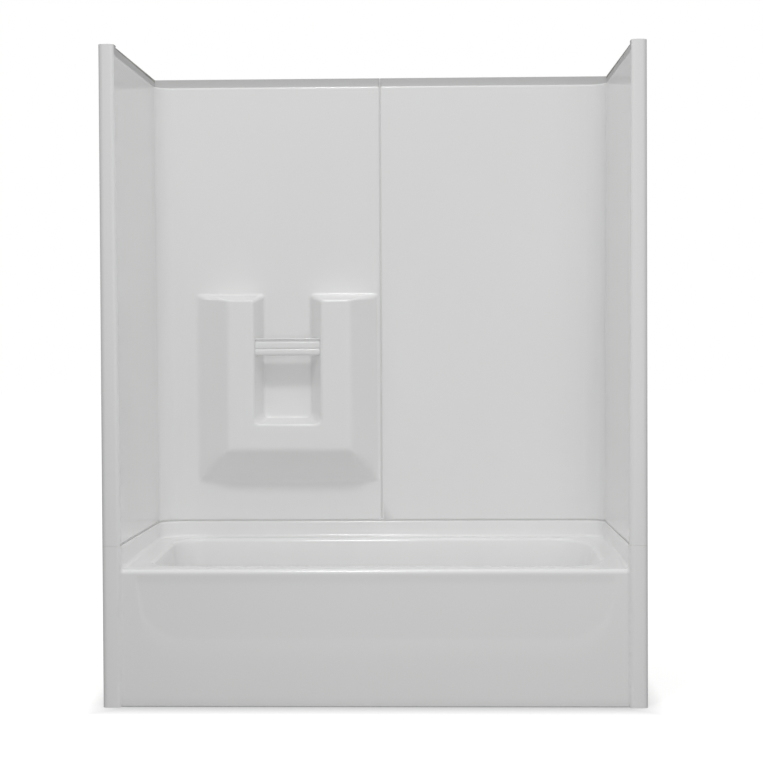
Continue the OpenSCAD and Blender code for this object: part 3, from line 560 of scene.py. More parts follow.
def panel_lines(with_shelf):
    """Columns on the back wall, rows up to the shelf's top edge and rows over it, close where it turns."""
    if not with_shelf:
        x_line = graded(-CORNER_X_TOP, LIP_X, 6, 0, 40)
        return x_line, [], graded(PANEL_FOOT + JOINT_R, STRIP_Z, 0, 6, 60)[1:]
    flank = graded(0, 1, 0.06, 0.06, 0.3)
    slot_side = graded(0, 1, 0.1, 0.12, 0.25)
    slot_foot = graded(0, 1, 0.1, 0.14, 0.25)
    x_line = chain(
        graded(-CORNER_X_TOP, SHELF_X0, 6, 6, 26),
        [SHELF_X0 + FLANK_LEFT * q for q in flank],
        graded(SHELF_X0 + FLANK_LEFT, SLOT_X0, 5, 9, 26),
        [SLOT_X0 + SLOT_LEAN_LEFT * q for q in slot_side],
        graded(SLOT_X0 + SLOT_LEAN_LEFT, SLOT_X1 - SLOT_LEAN_RIGHT, 10, 10, 26),
        [SLOT_X1 - SLOT_LEAN_RIGHT * q for q in slot_side[::-1]],
        graded(SLOT_X1, SHELF_X1 - FLANK_RIGHT, 9, 5, 26),
        [SHELF_X1 - FLANK_RIGHT * q for q in flank[::-1]],
        [-9.2, -8.4, LIP_X])
    z_line = chain(
        graded(PANEL_FOOT + JOINT_R, SHELF_Z0, 0, 6, 30),
        [SHELF_Z0 + UNDER * q for q in flank],
        graded(SHELF_Z0 + UNDER, SLOT_Z, 5, 9, 26),
        [SLOT_Z + SLOT_RISE * q for q in slot_foot],
        graded(SLOT_Z + SLOT_RISE, SHELF_Z1, 18, 0, 40)[:-1],
        [SHELF_Z1 - v for v in (30, 22, 16, 12, 9, 6.5, 4.5, 2.8, 1.3, 0)])
    return x_line, [round(z, 4) for z in z_line][1:], graded(SHELF_Z1 + TOP_RISE, STRIP_Z, 9, 6, 60)[1:]


def column_stops(xw):
    """Places round the upper left column, from the back of its outer side to the wall at xw."""
    side_d = COLUMN_D - COLUMN_OUTER_R
    total = column_length(xw)
    flat = total - side_d - OUTER_TURN - INNER_TURN
    steps = [0.0, side_d / 2, side_d]
    steps += [side_d + OUTER_TURN * k / TURN_STEPS for k in range(1, TURN_STEPS + 1)]
    steps.append(side_d + OUTER_TURN + flat / 2)
    steps += [side_d + OUTER_TURN + flat + INNER_TURN * k / TURN_STEPS for k in range(TURN_STEPS + 1)]
    return [column_point(total - h, xw) for h in steps]


class PanelPlan:
    """Plans of the left panel, from the column's outer side round the corner to the flange at the seam.

    low and high are the wall at the joint and at the top, out is the edge of the joint flange, strip is the
    line of the set-back strip, and away is the way out of the wall.
    """

    def __init__(self, x_line):
        low, high = column_stops(WALL_X_JOINT), column_stops(WALL_X_TOP)
        self.columns = columns = len(low)
        side_ys = chain(graded(FRONT + COLUMN_INNER_R, STRIP_Y0 - 0.4, 9, 3, 30)[1:],
                        graded(STRIP_Y0 + 0.4, CORNER_Y, 3, 0, 36)[:-1])
        self.corner = corner = columns + len(side_ys)
        for line, wall, corner_x in ((low, WALL_X_JOINT, CORNER_X_JOINT), (high, WALL_X_TOP, CORNER_X_TOP)):
            line += [(flared(y) - wall, y) for y in side_ys]
            line += arc(-corner_x, CORNER_Y, CORNER_R, 180, 90, CORNER_STEPS)
        out = low[:columns] + [(-FLANGE_X, y) for y in side_ys]
        out += square_corner(low[corner:], (-FLANGE_X, BACK), -FLANGE_X)
        strip = [(x if y < STRIP_Y0 else strip_x(y), y) for x, y in high[:corner]]
        strip += square_corner(high[corner:], (strip_x(STRIP_Y1), STRIP_Y1), strip_x(CORNER_Y))
        low_start, start, end, fade = low[-1][0], x_line[0], x_line[-1], 40
        for x in x_line[1:]:
            low_x = low_start + (x - start) * (end - low_start) / (end - start)
            keep = float(soft_step(fade - CORNER_X_TOP, -CORNER_X_TOP, x))
            low.append((x + (low_x - x) * keep, WALL_Y))
            high.append((x, WALL_Y))
            out.append((low[-1][0], BACK))
            strip.append((x, STRIP_Y1))
        lip = arc(LIP_X, WALL_Y + LIP_R, LIP_R, 270, 360, 5)[1:]
        for x, y in lip + [(-SEAM_HALF, 372), (-SEAM_HALF, BACK)]:
            low.append((x, y))
            high.append((x, y))
            out.append((x, BACK))
            strip.append((x, max(y, STRIP_Y1)))
        self.low, self.high, self.out, self.strip = [np.array(line) for line in (low, high, out, strip)]
        self.flanged = np.arange(len(low)) >= columns
        self.on_seam = self.low[:, 0] > LIP_X - 0.01
        self.on_back = self.low[:, 1] > WALL_Y - 0.01
        self.away = (self.low - (-CORNER_X_JOINT, CORNER_Y)) / CORNER_R
        self.away[:corner] = (-1, 0)
        self.away[self.on_back] = (0, 1)
        self.away[:columns] = 0

    def foot_rows(self):
        """Rows of the joint flange, from its edge to the wall, and of the rounding that leads up from it."""
        foot_z = np.where(self.flanged, PANEL_FOOT, TUB_TOP + COLUMN_GAP)
        foot_r = JOINT_R * (self.flanged & ~self.on_seam)
        start = self.low + self.away * foot_r[:, None]
        rows = []
        for t in FLANGE_SHARES[::-1]:
            rows.append(np.column_stack([start + (self.out - start) * t * self.flanged[:, None], foot_z]))
        for a in QUARTER:
            spots = self.low + self.away * (foot_r * (1 - math.sin(a)))[:, None]
            rows.append(np.column_stack([spots, foot_z + foot_r * (1 - math.cos(a))]))
        return rows

    def wall_row(self, z, depth_share=0.0):
        """A level row at height z, which stands out from the back wall by a share of the shelf's depth."""
        t = (z - PANEL_FOOT) / (TOP - PANEL_FOOT)
        row = np.column_stack([self.low + (self.high - self.low) * t, np.full(len(self.low), float(z))])
        on_wall = self.on_back & ~self.on_seam
        row[on_wall, 1] -= shelf_depth(row[on_wall, 0], row[on_wall, 2]) * depth_share
        return row

    def strip_row(self, z, share=1.0):
        """A level row at height z, set back by a share of the way to the strip."""
        row = self.wall_row(z)
        row[:, :2] += (self.strip - row[:, :2]) * share
        return row


def panel_mesh(name, with_shelf):
    """A wall panel as one grid, in rows up from the joint. The plain one is mirrored to the right."""
    x_line, z_line, above = panel_lines(with_shelf)
    plan = PanelPlan(x_line)
    rows = plan.foot_rows()
    first_wall = len(rows)
    rows += [plan.wall_row(z, 1.0) for z in z_line]
    if with_shelf:
        rows += [plan.wall_row(SHELF_Z1 + TOP_RISE * q, 1 - q) for q in SHELF_TOP_STEPS]
    rows += [plan.wall_row(z) for z in above]
    rows += [plan.strip_row(STRIP_Z, share) for share in (0.1, 0.2, 0.35, 0.6, 0.8, 0.92, 1.0)]
    strip_from = len(rows)
    rows += [plan.strip_row(STRIP_Z + up) for up in (1.5, 3, 5, 8)]
    shade_band_from = len(rows)
    # A dark band of painted shade along the top of the strip, wider towards the back
    shade_band_h = 3 + 5 * np.clip((plan.high[:, 1] - STRIP_Y0) / 650, 0, 1)
    for share in (1.0, 0.5, 0.0):
        row = plan.strip_row(TOP)
        row[:, 2] = TOP - shade_band_h * share
        rows.append(row)
    grid = np.array(rows)
    columns, on_corner = plan.columns, plan.corner + CORNER_STEPS // 2
    body = grid[first_wall:shade_band_from, columns:]
    grid[first_wall:shade_band_from, columns:] = settle(body, lambda p: panel_shape(p, with_shelf))
    skin = Skin()
    skin.add_grid(grid[:strip_from + 1])
    skin.add_grid(grid[strip_from:, :columns])
    # The set-back strip and the top band over the back wall take the darker gelcoat, painted shade of the
    # recess
    skin.add_grid(grid[strip_from:shade_band_from + 1, columns - 1:], mark=UNPOLISHED_SHADED)
    skin.add_grid(grid[shade_band_from:, columns - 1:on_corner + 1], mark=SHADE_BAND_MARK)
    skin.add_grid(grid[shade_band_from:, on_corner:], mark=UNPOLISHED_SHADED)
    if not with_shelf:
        for points in skin.points:
            points[:, 0] *= -1
    side = -1 if with_shelf else 1
    return skin.mesh(name, (side * 300, WALL_Y, 1500), (0, -1, 0))


# Washcloth bar

BAR_X0, BAR_X1, BAR_Y, BAR_GAP = -386.2, -197.8, 291.0, 0.3
PIN_Z, PIN_L, PIN_R = 1006.0, 22.0, 7
# Corners of its section, as depth, height and rounding: two rounded bands, a groove and a thin fin on top
BAR_SECTION = [(10, 979, 4), (-10, 979, 12), (-10, 997, 8), (-6.6, 1000, 4), (-10, 1003, 8),
               (-10, 1021.5, 12), (-3.5, 1023, 2.5), (-3.5, 1028.5, 2.5), (-9, 1029, 2),
               (-9, 1033, 2), (-4, 1033, 2), (10, 1033, 3)]


def rounded(corners, steps=5):
    """A closed outline whose corners (u, v, radius) are rounded."""
    most = 0.49
    line = []
    for k, (u, v, r) in enumerate(corners):
        here = Vector((u, v))
        before = Vector(corners[k - 1][:2]) - here
        after = Vector(corners[(k + 1) % len(corners)][:2]) - here
        half = before.angle(after) / 2
        reach = min(r / math.tan(half), before.length * most, after.length * most)
        a, b = here + before.normalized() * reach, here + after.normalized() * reach
        for i in range(steps + 1):
            t = i / steps
            line.append(tuple(a * (1 - t) ** 2 + here * 2 * t * (1 - t) + b * t * t))
    return line


def bar_mesh():
    """The bar between the slot's sides, and the pins that go into them."""
    profile = [(BAR_Y + y, z) for y, z in rounded(BAR_SECTION)]
    rings = []
    for share in (0, 0.01, 0.5, 0.99, 1):
        ring = []
        for y, z in profile:
            behind = 1 - (WALL_Y - y) / SHELF_D
            x0 = SLOT_X0 + SLOT_LEAN_LEFT * behind + BAR_GAP
            x1 = SLOT_X1 - SLOT_LEAN_RIGHT * behind - BAR_GAP
            ring.append((x0 + (x1 - x0) * share, y, z))
        rings.append(ring)
    skin = Skin()
    skin.add_bar(rings)
    for x0, x1 in ((BAR_X0 - PIN_L, BAR_X0 + 3), (BAR_X1 - 3, BAR_X1 + PIN_L)):
        skin.add_bar([[(x, y, z) for y, z in circle(BAR_Y, PIN_Z, r, 32)]
                      for x, r in ((x0, PIN_R - 1), (x0 + 1, PIN_R), (x1 - 1, PIN_R), (x1, PIN_R - 1))])
    return skin.mesh("bar", (-290, BAR_Y - 10, 990), (0, -1, 0))


# Materials

def noise(tree, where, scale, detail=4.0, rough=0.55):
    node = tree.nodes.new("ShaderNodeTexNoise")
    node.inputs["Scale"].default_value = scale
    node.inputs["Detail"].default_value = detail
    node.inputs["Roughness"].default_value = rough
    tree.links.new(where, node.inputs["Vector"])
    return node.outputs["Fac"]


def remap(tree, source, low, high, to_low, to_high):
    node = tree.nodes.new("ShaderNodeMapRange")
    tree.links.new(source, node.inputs["Value"])
    for name, value in (("From Min", low), ("From Max", high), ("To Min", to_low), ("To Max", to_high)):
        node.inputs[name].default_value = value
    return node.outputs["Result"]


def blend(tree, factor, first, second):
    """A colour between two. A Mix node has its colours at inputs 6 and 7 and at output 2."""
    node = tree.nodes.new("ShaderNodeMix")
    node.data_type = "RGBA"
    tree.links.new(factor, node.inputs["Factor"])
    for socket, value in ((node.inputs[6], first), (node.inputs[7], second)):
        if isinstance(value, tuple):
            socket.default_value = (*value, 1)
        else:
            tree.links.new(value, socket)
    return node.outputs[2]


def bump(tree, height, strength, distance, normal=None):
    node = tree.nodes.new("ShaderNodeBump")
    node.inputs["Strength"].default_value = strength
    node.inputs["Distance"].default_value = distance
    tree.links.new(height, node.inputs["Height"])
    if normal is not None:
        tree.links.new(normal, node.inputs["Normal"])
    return node.outputs["Normal"]


def material(name):
    """A new material, with its node tree and the place on a piece that its patterns follow."""
    mat = bpy.data.materials.new(name)
    mat.use_nodes = True
    return mat, mat.node_tree, mat.node_tree.nodes.new("ShaderNodeTexCoord").outputs["Object"]


def finish(mat, colour, rough, normal):
    """Gives a material its colour, its roughness as a number or a pattern, and its relief."""
    shader, links = mat.node_tree.nodes["Principled BSDF"], mat.node_tree.links
    links.new(colour, shader.inputs["Base Color"])
    links.new(normal, shader.inputs["Normal"])
    if isinstance(rough, float):
        shader.inputs["Roughness"].default_value = rough
    else:
        links.new(rough, shader.inputs["Roughness"])
    return mat


def gelcoat(name="white gelcoat", tone=(0.9, 0.9, 0.9), low=(0.885, 0.885, 0.883), rough=0.14):
    mat, tree, place = material(name)
    cloud = remap(tree, noise(tree, place, 1.7, 2, 0.4), 0.25, 0.75, 0, 1)
    waves = bump(tree, noise(tree, place, 4.0, 1, 0.3), 0.03, 0.002)
    orange_peel = bump(tree, noise(tree, place, 700.0, 2, 0.5), 0.03, 0.0003, waves)
    return finish(mat, blend(tree, cloud, tone, low), rough, orange_peel)


def laminate(name="glass fibre laminate", tone=(0.56, 0.55, 0.44), low=(0.40, 0.40, 0.31)):
    mat, tree, place = material(name)
    fibre = noise(tree, place, 160.0, 8, 0.75)
    blotch = remap(tree, noise(tree, place, 11.0, 4), 0.45, 0.7, 0, 0.5)
    strands = blend(tree, remap(tree, fibre, 0.38, 0.62, 0, 1), tone, low)
    return finish(mat, blend(tree, blotch, strands, (0.62, 0.60, 0.47)), 0.62,
                  bump(tree, fibre, 0.5, 0.0012))


# Dark laminate for the band of painted shade along the top of the side walls
def painted_shade_band():
    return laminate("painted shade band", (0.30, 0.30, 0.29), (0.22, 0.22, 0.21))


def sealing_tape():
    mat, tree, place = material("sealing tape")
    grain = noise(tree, place, 420.0, 3)
    return finish(mat, blend(tree, grain, (0.74, 0.74, 0.73), (0.84, 0.84, 0.83)), 0.8,
                  bump(tree, grain, 0.3, 0.0004))


def zinc():
    mat, tree, place = material("zinc plated steel")
    tree.nodes["Principled BSDF"].inputs["Metallic"].default_value = 1.0
    spangle = noise(tree, place, 240.0, 4, 0.6)
    return finish(mat, blend(tree, spangle, (0.72, 0.73, 0.76), (0.55, 0.56, 0.58)),
                  remap(tree, spangle, 0.3, 0.7, 0.28, 0.46), bump(tree, spangle, 0.15, 0.0002))


def timber():
    """Sawn softwood. Each board carries its own place as an attribute, with the grain along x."""
    mat, tree, _ = material("sawn timber")
    board = tree.nodes.new("ShaderNodeAttribute")
    board.attribute_name = "board_place"
    stretch = tree.nodes.new("ShaderNodeMapping")
    stretch.inputs["Scale"].default_value = (0.6, 9.0, 9.0)
    tree.links.new(board.outputs["Vector"], stretch.inputs["Vector"])
    along = stretch.outputs["Vector"]
    rings = tree.nodes.new("ShaderNodeTexWave")
    rings.bands_direction = "Z"
    for name, value in (("Scale", 1.6), ("Distortion", 9.0), ("Detail", 3.0), ("Detail Scale", 0.8)):
        rings.inputs[name].default_value = value
    tree.links.new(along, rings.inputs["Vector"])
    growth = remap(tree, rings.outputs["Fac"], 0.2, 0.9, 0, 1)
    streak = noise(tree, along, 14.0, 6, 0.65)
    wood = blend(tree, growth, (0.60, 0.41, 0.22), (0.44, 0.27, 0.12))
    wood = blend(tree, remap(tree, streak, 0.35, 0.75, 0, 0.6), wood, (0.66, 0.49, 0.30))
    return finish(mat, wood, 0.75, bump(tree, streak, 0.4, 0.0008))


WHITE, RAW, SHADE_BAND_LAMINATE = gelcoat(), laminate(), painted_shade_band()
TAPE, STEEL, WOOD = sealing_tape(), zinc(), timber()
BAR_WHITE = gelcoat("bar gelcoat", (0.89, 0.89, 0.89), (0.875, 0.875, 0.873))
# A darker gelcoat that paints shade on the set-back strip at the top of the walls, which is also unpolished
DULL_SHADED_GELCOAT = gelcoat("unpolished gelcoat with painted shade", (0.59, 0.59, 0.59), (0.56, 0.56, 0.56), 0.5)


# Pieces

def placed(name, data):
    """A new object in the scene."""
    obj = bpy.data.objects.new(name, data)
    bpy.context.scene.collection.objects.link(obj)
    return obj


def baked(obj):
    """Applies an object's modifiers into a fresh plain mesh."""
    mesh = bpy.data.meshes.new_from_object(obj.evaluated_get(bpy.context.evaluated_depsgraph_get()))
    obj.modifiers.clear()
    obj.data = mesh
    return mesh


def shaded(mesh, angle):
    """Shades a mesh smooth, apart from edges where it turns by more than an angle in degrees."""
    mesh.polygons.foreach_set("use_smooth", [True] * len(mesh.polygons))
    mesh.set_sharp_from_angle(angle=math.radians(angle))
    return mesh


def piece(name, mesh, nodes):
    obj = placed(name, mesh)
    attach(obj, "root")
    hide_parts(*nodes)
    return obj


def thicken(mesh, name, cuts=()):
    """Gives a moulding its thickness, with raw laminate behind its finishes and on its cut edges."""
    front = [(vert.co.copy(), vert.normal.copy()) for vert in mesh.vertices]
    obj = placed(name, mesh)
    # Two of these finishes carry painted shade: the dark band on the side walls and the darker gelcoat of the
    # strip
    for mat in (WHITE, RAW, SHADE_BAND_LAMINATE, RAW, DULL_SHADED_GELCOAT, RAW):
        mesh.materials.append(mat)
    solid = obj.modifiers.new("thickness", "SOLIDIFY")
    solid.thickness = SKIN * MM
    solid.offset = -1
    solid.use_even_offset = True
    solid.thickness_clamp = 1.5
    solid.material_offset = 1
    solid.material_offset_rim = 1
    baked(obj)
    # At some narrow folds the modifier throws points far out, so these go straight back instead
    too_far = 2.5 * SKIN * MM
    for (place, normal), back in zip(front, obj.data.vertices[len(front):]):
        if (back.co - place).length > too_far:
            back.co = place - normal * SKIN * MM
    for start, direction, radius, length in cuts:
        cut = placed("cut", cylinder_mesh(start, direction, radius, length))
        boolean = obj.modifiers.new("hole", "BOOLEAN")
        boolean.object = cut
        boolean.operation = "DIFFERENCE"
        boolean.solver = "EXACT"
        baked(obj)
        bpy.data.objects.remove(cut)
    result = obj.data
    bpy.data.objects.remove(obj)
    return shaded(result, 38)


def cylinder_mesh(start, direction, radius, length, steps=48):
    """A cylinder in metres, from a start and a direction in millimetres."""
    mesh = bpy.data.meshes.new("cylinder")
    bm = bmesh.new()
    turn = Vector(direction).to_track_quat("Z", "Y").to_matrix().to_4x4()
    middle = (Vector(start) + Vector(direction).normalized() * length / 2) * MM
    bmesh.ops.create_cone(bm, cap_ends=True, segments=steps, radius1=radius * MM, radius2=radius * MM,
                          depth=length * MM, matrix=Matrix.Translation(middle) @ turn)
    bm.to_mesh(mesh)
    bm.free()
    return mesh


# The overflow hole goes square through the slope of the basin's drain end
drill_l, drill_inside = 60, 25
drill_way = (math.cos(math.radians(DRAIN_SLOPE)), 0, math.sin(math.radians(DRAIN_SLOPE)))
drill_start = [OVERFLOW_X - drill_inside * drill_way[0], MID_Y, OVERFLOW_Z - drill_inside * drill_way[2]]
overflow_hole = (drill_start, drill_way, OVERFLOW_R, drill_l)
piece("tub_skin", thicken(tub_mesh(), "tub", [overflow_hole]), ["tub_shell"])
piece("left_panel_skin", thicken(panel_mesh("left panel", True), "left"), ["left_wall_panel"])
piece("right_panel_skin", thicken(panel_mesh("right panel", False), "right"), ["right_wall_panel"])
bar = shaded(bar_mesh(), 38)
bar.materials.append(BAR_WHITE)
piece("bar_body", bar, ["washcloth_bar"])


# Fasteners, each kind set along its rows by geometry nodes

HEX_R, BOLT_R, ROOT_R, TIP_R, PITCH = 5.55, 3.0, 2.68, 2.4, 1.0
WASHER_T, NUT_H, THREAD_OUT = 1.5, 5.0, 3

# What a bolt holds together: two flanges and the gasket between them
GRIP = 2 * (SKIN + SEAM_HALF)


def row_group():
    """A tree that sets a fastener at even steps along a line, turned one way, and gives it its metal."""
    group = bpy.data.node_groups.new("fastener row", "GeometryNodeTree")
    for name, kind in (("Fastener", "Geometry"), ("Count", "Int"), ("Start", "Vector"), ("Step", "Vector"),
                       ("Turn", "Rotation"), ("Metal", "Material")):
        group.interface.new_socket(name, in_out="INPUT", socket_type="NodeSocket" + kind)
    group.interface.new_socket("Row", in_out="OUTPUT", socket_type="NodeSocketGeometry")
    given, made, line, place, real, coat = [group.nodes.new(kind) for kind in (
        "NodeGroupInput", "NodeGroupOutput", "GeometryNodeMeshLine", "GeometryNodeInstanceOnPoints",
        "GeometryNodeRealizeInstances", "GeometryNodeSetMaterial")]
    for source, output, target, entry in (
            (given, "Count", line, "Count"), (given, "Start", line, "Start Location"),
            (given, "Step", line, "Offset"), (line, "Mesh", place, "Points"),
            (given, "Fastener", place, "Instance"), (given, "Turn", place, "Rotation"),
            (place, "Instances", real, "Geometry"), (real, "Geometry", coat, "Geometry"),
            (given, "Metal", coat, "Material"), (coat, "Geometry", made, "Row")):
        group.links.new(source.outputs[output], target.inputs[entry])
    return group


ROWS = row_group()
ROW_INPUTS = {item.name: item.identifier for item in ROWS.interface.items_tree if item.in_out == "INPUT"}


def fastener_row(mesh, count, start, step, turn):
    """A fastener, count times from start in steps of so many millimetres, turned by so many degrees."""
    obj = placed("row", mesh.copy())
    rows = obj.modifiers.new("row", "NODES")
    rows.node_group = ROWS
    for name, value in (("Count", count), ("Metal", STEEL), ("Start", [v * MM for v in start]),
                        ("Step", [v * MM for v in step]), ("Turn", [math.radians(v) for v in turn])):
        rows[ROW_INPUTS[name]] = value
    made = baked(obj)
    bpy.data.objects.remove(obj)
    return made


def joined(name, meshes):
    """The rows of one kind of fastener as one mesh."""
    bm = bmesh.new()
    for mesh in meshes:
        bm.from_mesh(mesh)
    result = bpy.data.meshes.new(name)
    bm.to_mesh(result)
    bm.free()
    result.materials.append(STEEL)
    return shaded(result, 35)


def turned(rings):
    """A turned part from rings of (radius, height, whether it has six sides there)."""
    steps, sixth = 36, math.pi / 3
    rows = []
    for r, z, six_sided in rings:
        row = []
        for k in range(steps):
            a = 2 * math.pi * k / steps
            reach = r * math.cos(sixth / 2) / math.cos(a % sixth - sixth / 2) if six_sided else r
            row.append((reach * math.cos(a), reach * math.sin(a), z))
        rows.append(row)
    skin = Skin()
    skin.add_grid(np.array(rows), closed=True)
    return skin


def bolt_mesh():
    """A hexagon bolt that points up, with the underside of its head at the origin and a ribbed thread."""
    middle, head_h, head_bevel = 0.01, 4, 0.6
    rings = [(middle, -head_h, False), (4.7, -head_h, False), (HEX_R, head_bevel - head_h, True),
             (HEX_R, 0, True), (BOLT_R, 0, False)]
    end = GRIP + 2 * WASHER_T + NUT_H + THREAD_OUT
    z = GRIP * 0.35
    rings.append((BOLT_R, z, False))
    while z + PITCH < end - 0.8:
        rings += [(ROOT_R, z + PITCH / 2, False), (BOLT_R, z + PITCH, False)]
        z += PITCH
    rings += [(TIP_R, end, False), (middle, end, False)]
    return turned(rings).mesh("bolt", (0, 0, end + 5), (0, 0, 1))


def ring_mesh(name, outer, inner, height, six_sided=False):
    """A washer, or a nut with six sides, that stands on the origin, with its outer edges bevelled."""
    bevel = 0.3
    face_r = outer - bevel * 1.5
    rings = [(inner, 0, False), (face_r, 0, six_sided), (outer, bevel, six_sided),
             (outer, height - bevel, six_sided), (face_r, height, six_sided), (inner, height, False),
             (inner, 0, False)]
    return turned(rings).mesh(name, (0, 0, height + 20), (0, 0, 1))


# Where the rows of bolts start and their steps: up the seam, along each half of the back and along each side
JOINT_TOP, NUT_TOP = PANEL_FOOT + SKIN, TUB_TOP - SKIN
SEAM_SIDE = SEAM_HALF + SKIN
BOLT_Y = (WALL_Y + SKIN + BACK) / 2
SEAM_BOLTS, SEAM_END_GAP, JOINT_BOLTS, CORNER_GAP = 6, 100, 3, 20
SEAM_START = PANEL_FOOT + SEAM_END_GAP
SEAM_STEP = (STRIP_Z - SEAM_END_GAP - SEAM_START) / (SEAM_BOLTS - 1)
BACK_START = 60
BACK_STEP = (WALL_X_JOINT - CORNER_R - CORNER_GAP - BACK_START) / (JOINT_BOLTS - 1)
SIDE_X, SIDE_START = (WALL_X_JOINT + SKIN + FLANGE_X) / 2, FRONT + COLUMN_D + 60
SIDE_STEP = (CORNER_Y - CORNER_GAP - SIDE_START) / (JOINT_BOLTS - 1)


def joint_rows(mesh, z, flip=False):
    """Fasteners of one kind over the joint on the tub, at height z."""
    turn = (180, 0, 0) if flip else (0, 0, 0)
    rows = []
    for side in (-1, 1):
        back, back_step = (side * BACK_START, BOLT_Y, z), (side * BACK_STEP, 0, 0)
        rows.append(fastener_row(mesh, JOINT_BOLTS, back, back_step, turn))
        rows.append(fastener_row(mesh, JOINT_BOLTS, (side * SIDE_X, SIDE_START, z), (0, SIDE_STEP, 0), turn))
    return rows


def seam_row(mesh, x, flip=False):
    """Fasteners of one kind up the seam, at x."""
    turn = (0, -90, 0) if flip else (0, 90, 0)
    return fastener_row(mesh, SEAM_BOLTS, (x, BOLT_Y, SEAM_START), (0, 0, SEAM_STEP), turn)


bolt = bolt_mesh()
washer, nut = ring_mesh("washer", 6.5, 3.5, WASHER_T), ring_mesh("nut", HEX_R, 3.05, NUT_H, True)
fasteners = {
    "joint_bolts": joint_rows(bolt, JOINT_TOP + WASHER_T, flip=True),
    "joint_washers": joint_rows(washer, JOINT_TOP) + joint_rows(washer, NUT_TOP - WASHER_T),
    "joint_nuts": joint_rows(nut, NUT_TOP - WASHER_T - NUT_H),
    "seam_bolts": [seam_row(bolt, SEAM_SIDE + WASHER_T, flip=True)],
    "seam_washers": [seam_row(washer, SEAM_SIDE), seam_row(washer, -SEAM_SIDE - WASHER_T)],
    "seam_nuts": [seam_row(nut, -SEAM_SIDE - WASHER_T - NUT_H)],
}
for node, meshes in fasteners.items():
    piece(node + "_row", joined(node, meshes), [node])


# Timber, from the CAD's own boards

GRAIN_SHIFT = (3.7, 1.3, 0.9)
TIMBER = ["base_board", "base_runner_front", "base_runner_middle", "base_runner_back", "apron_board",
          "apron_foot_cleat", "front_rim_rail", "back_ledge_rail", "deck_legs", "drain_end_rail",
          "rest_end_rail", "left_column_strip", "right_column_strip", "left_side_ribs", "right_side_ribs",
          "left_back_ribs", "right_back_ribs", "shelf_backing"]


def separate(bm):
    """The points of one board after another, in the order of the mesh."""
    left = set(bm.verts)
    for seed in bm.verts:
        if seed not in left:
            continue
        left.remove(seed)
        group, queue = [seed], [seed]
        while queue:
            for edge in queue.pop().link_edges:
                for vert in edge.verts:
                    if vert in left:
                        left.remove(vert)
                        group.append(vert)
                        queue.append(vert)
        yield group


def boards(node):
    """A node's boards with worn edges. Each gets its own place for the grain, along its longest side."""
    cad = bpy.data.objects[node]
    bm = bmesh.new()
    bm.from_mesh(cad.data)
    bmesh.ops.transform(bm, matrix=cad.matrix_world, verts=bm.verts)
    bmesh.ops.remove_doubles(bm, verts=bm.verts, dist=0.00001)
    bmesh.ops.dissolve_limit(bm, angle_limit=math.radians(1), verts=bm.verts, edges=bm.edges)
    bmesh.ops.recalc_face_normals(bm, faces=bm.faces)
    bmesh.ops.bevel(bm, geom=bm.edges[:], offset=0.0015, segments=2, profile=0.6, affect="EDGES",
                    clamp_overlap=True)
    layer = bm.verts.layers.float_vector.new("board_place")
    for index, group in enumerate(separate(bm)):
        low = Vector([min(vert.co[k] for vert in group) for k in range(3)])
        high = Vector([max(vert.co[k] for vert in group) for k in range(3)])
        grain = max(range(3), key=lambda k: high[k] - low[k])
        order = [grain, (grain + 1) % 3, (grain + 2) % 3]
        shift = Vector([index * step for step in GRAIN_SHIFT])
        for vert in group:
            vert[layer] = Vector([vert.co[k] - low[k] for k in order]) + shift
    made = bpy.data.meshes.new(node)
    bm.to_mesh(made)
    bm.free()
    made.materials.append(WOOD)
    return shaded(made, 50)


for node in TIMBER:
    piece(node + "_sawn", boards(node), [node])

# The gaskets keep the CAD's own shape
for node in ("seam_gasket", "left_joint_gasket", "right_joint_gasket"):
    for finish_slot in bpy.data.objects[node].material_slots:
        finish_slot.link = "OBJECT"
        finish_slot.material = TAPE


# Stage

# The camera that was fitted to the photograph's straight edges, in metres, degrees and millimetres
CAMERA_PLACE = (0.1861, -5.7033, 1.0313)
CAMERA_YAW, CAMERA_PITCH, CAMERA_ROLL = 1.745, -1.289, -0.28
CAMERA_LENS, CAMERA_SENSOR = 90.4, 36


def split_for_camera(tree, lit, seen, output):
    """Shows one shader to the camera and another to all other light."""
    path = tree.nodes.new("ShaderNodeLightPath")
    mix = tree.nodes.new("ShaderNodeMixShader")
    for k, socket in enumerate((path.outputs["Is Camera Ray"], lit.outputs[0], seen.outputs[0])):
        tree.links.new(socket, mix.inputs[k])
    tree.links.new(mix.outputs[0], tree.nodes[output].inputs["Surface"])


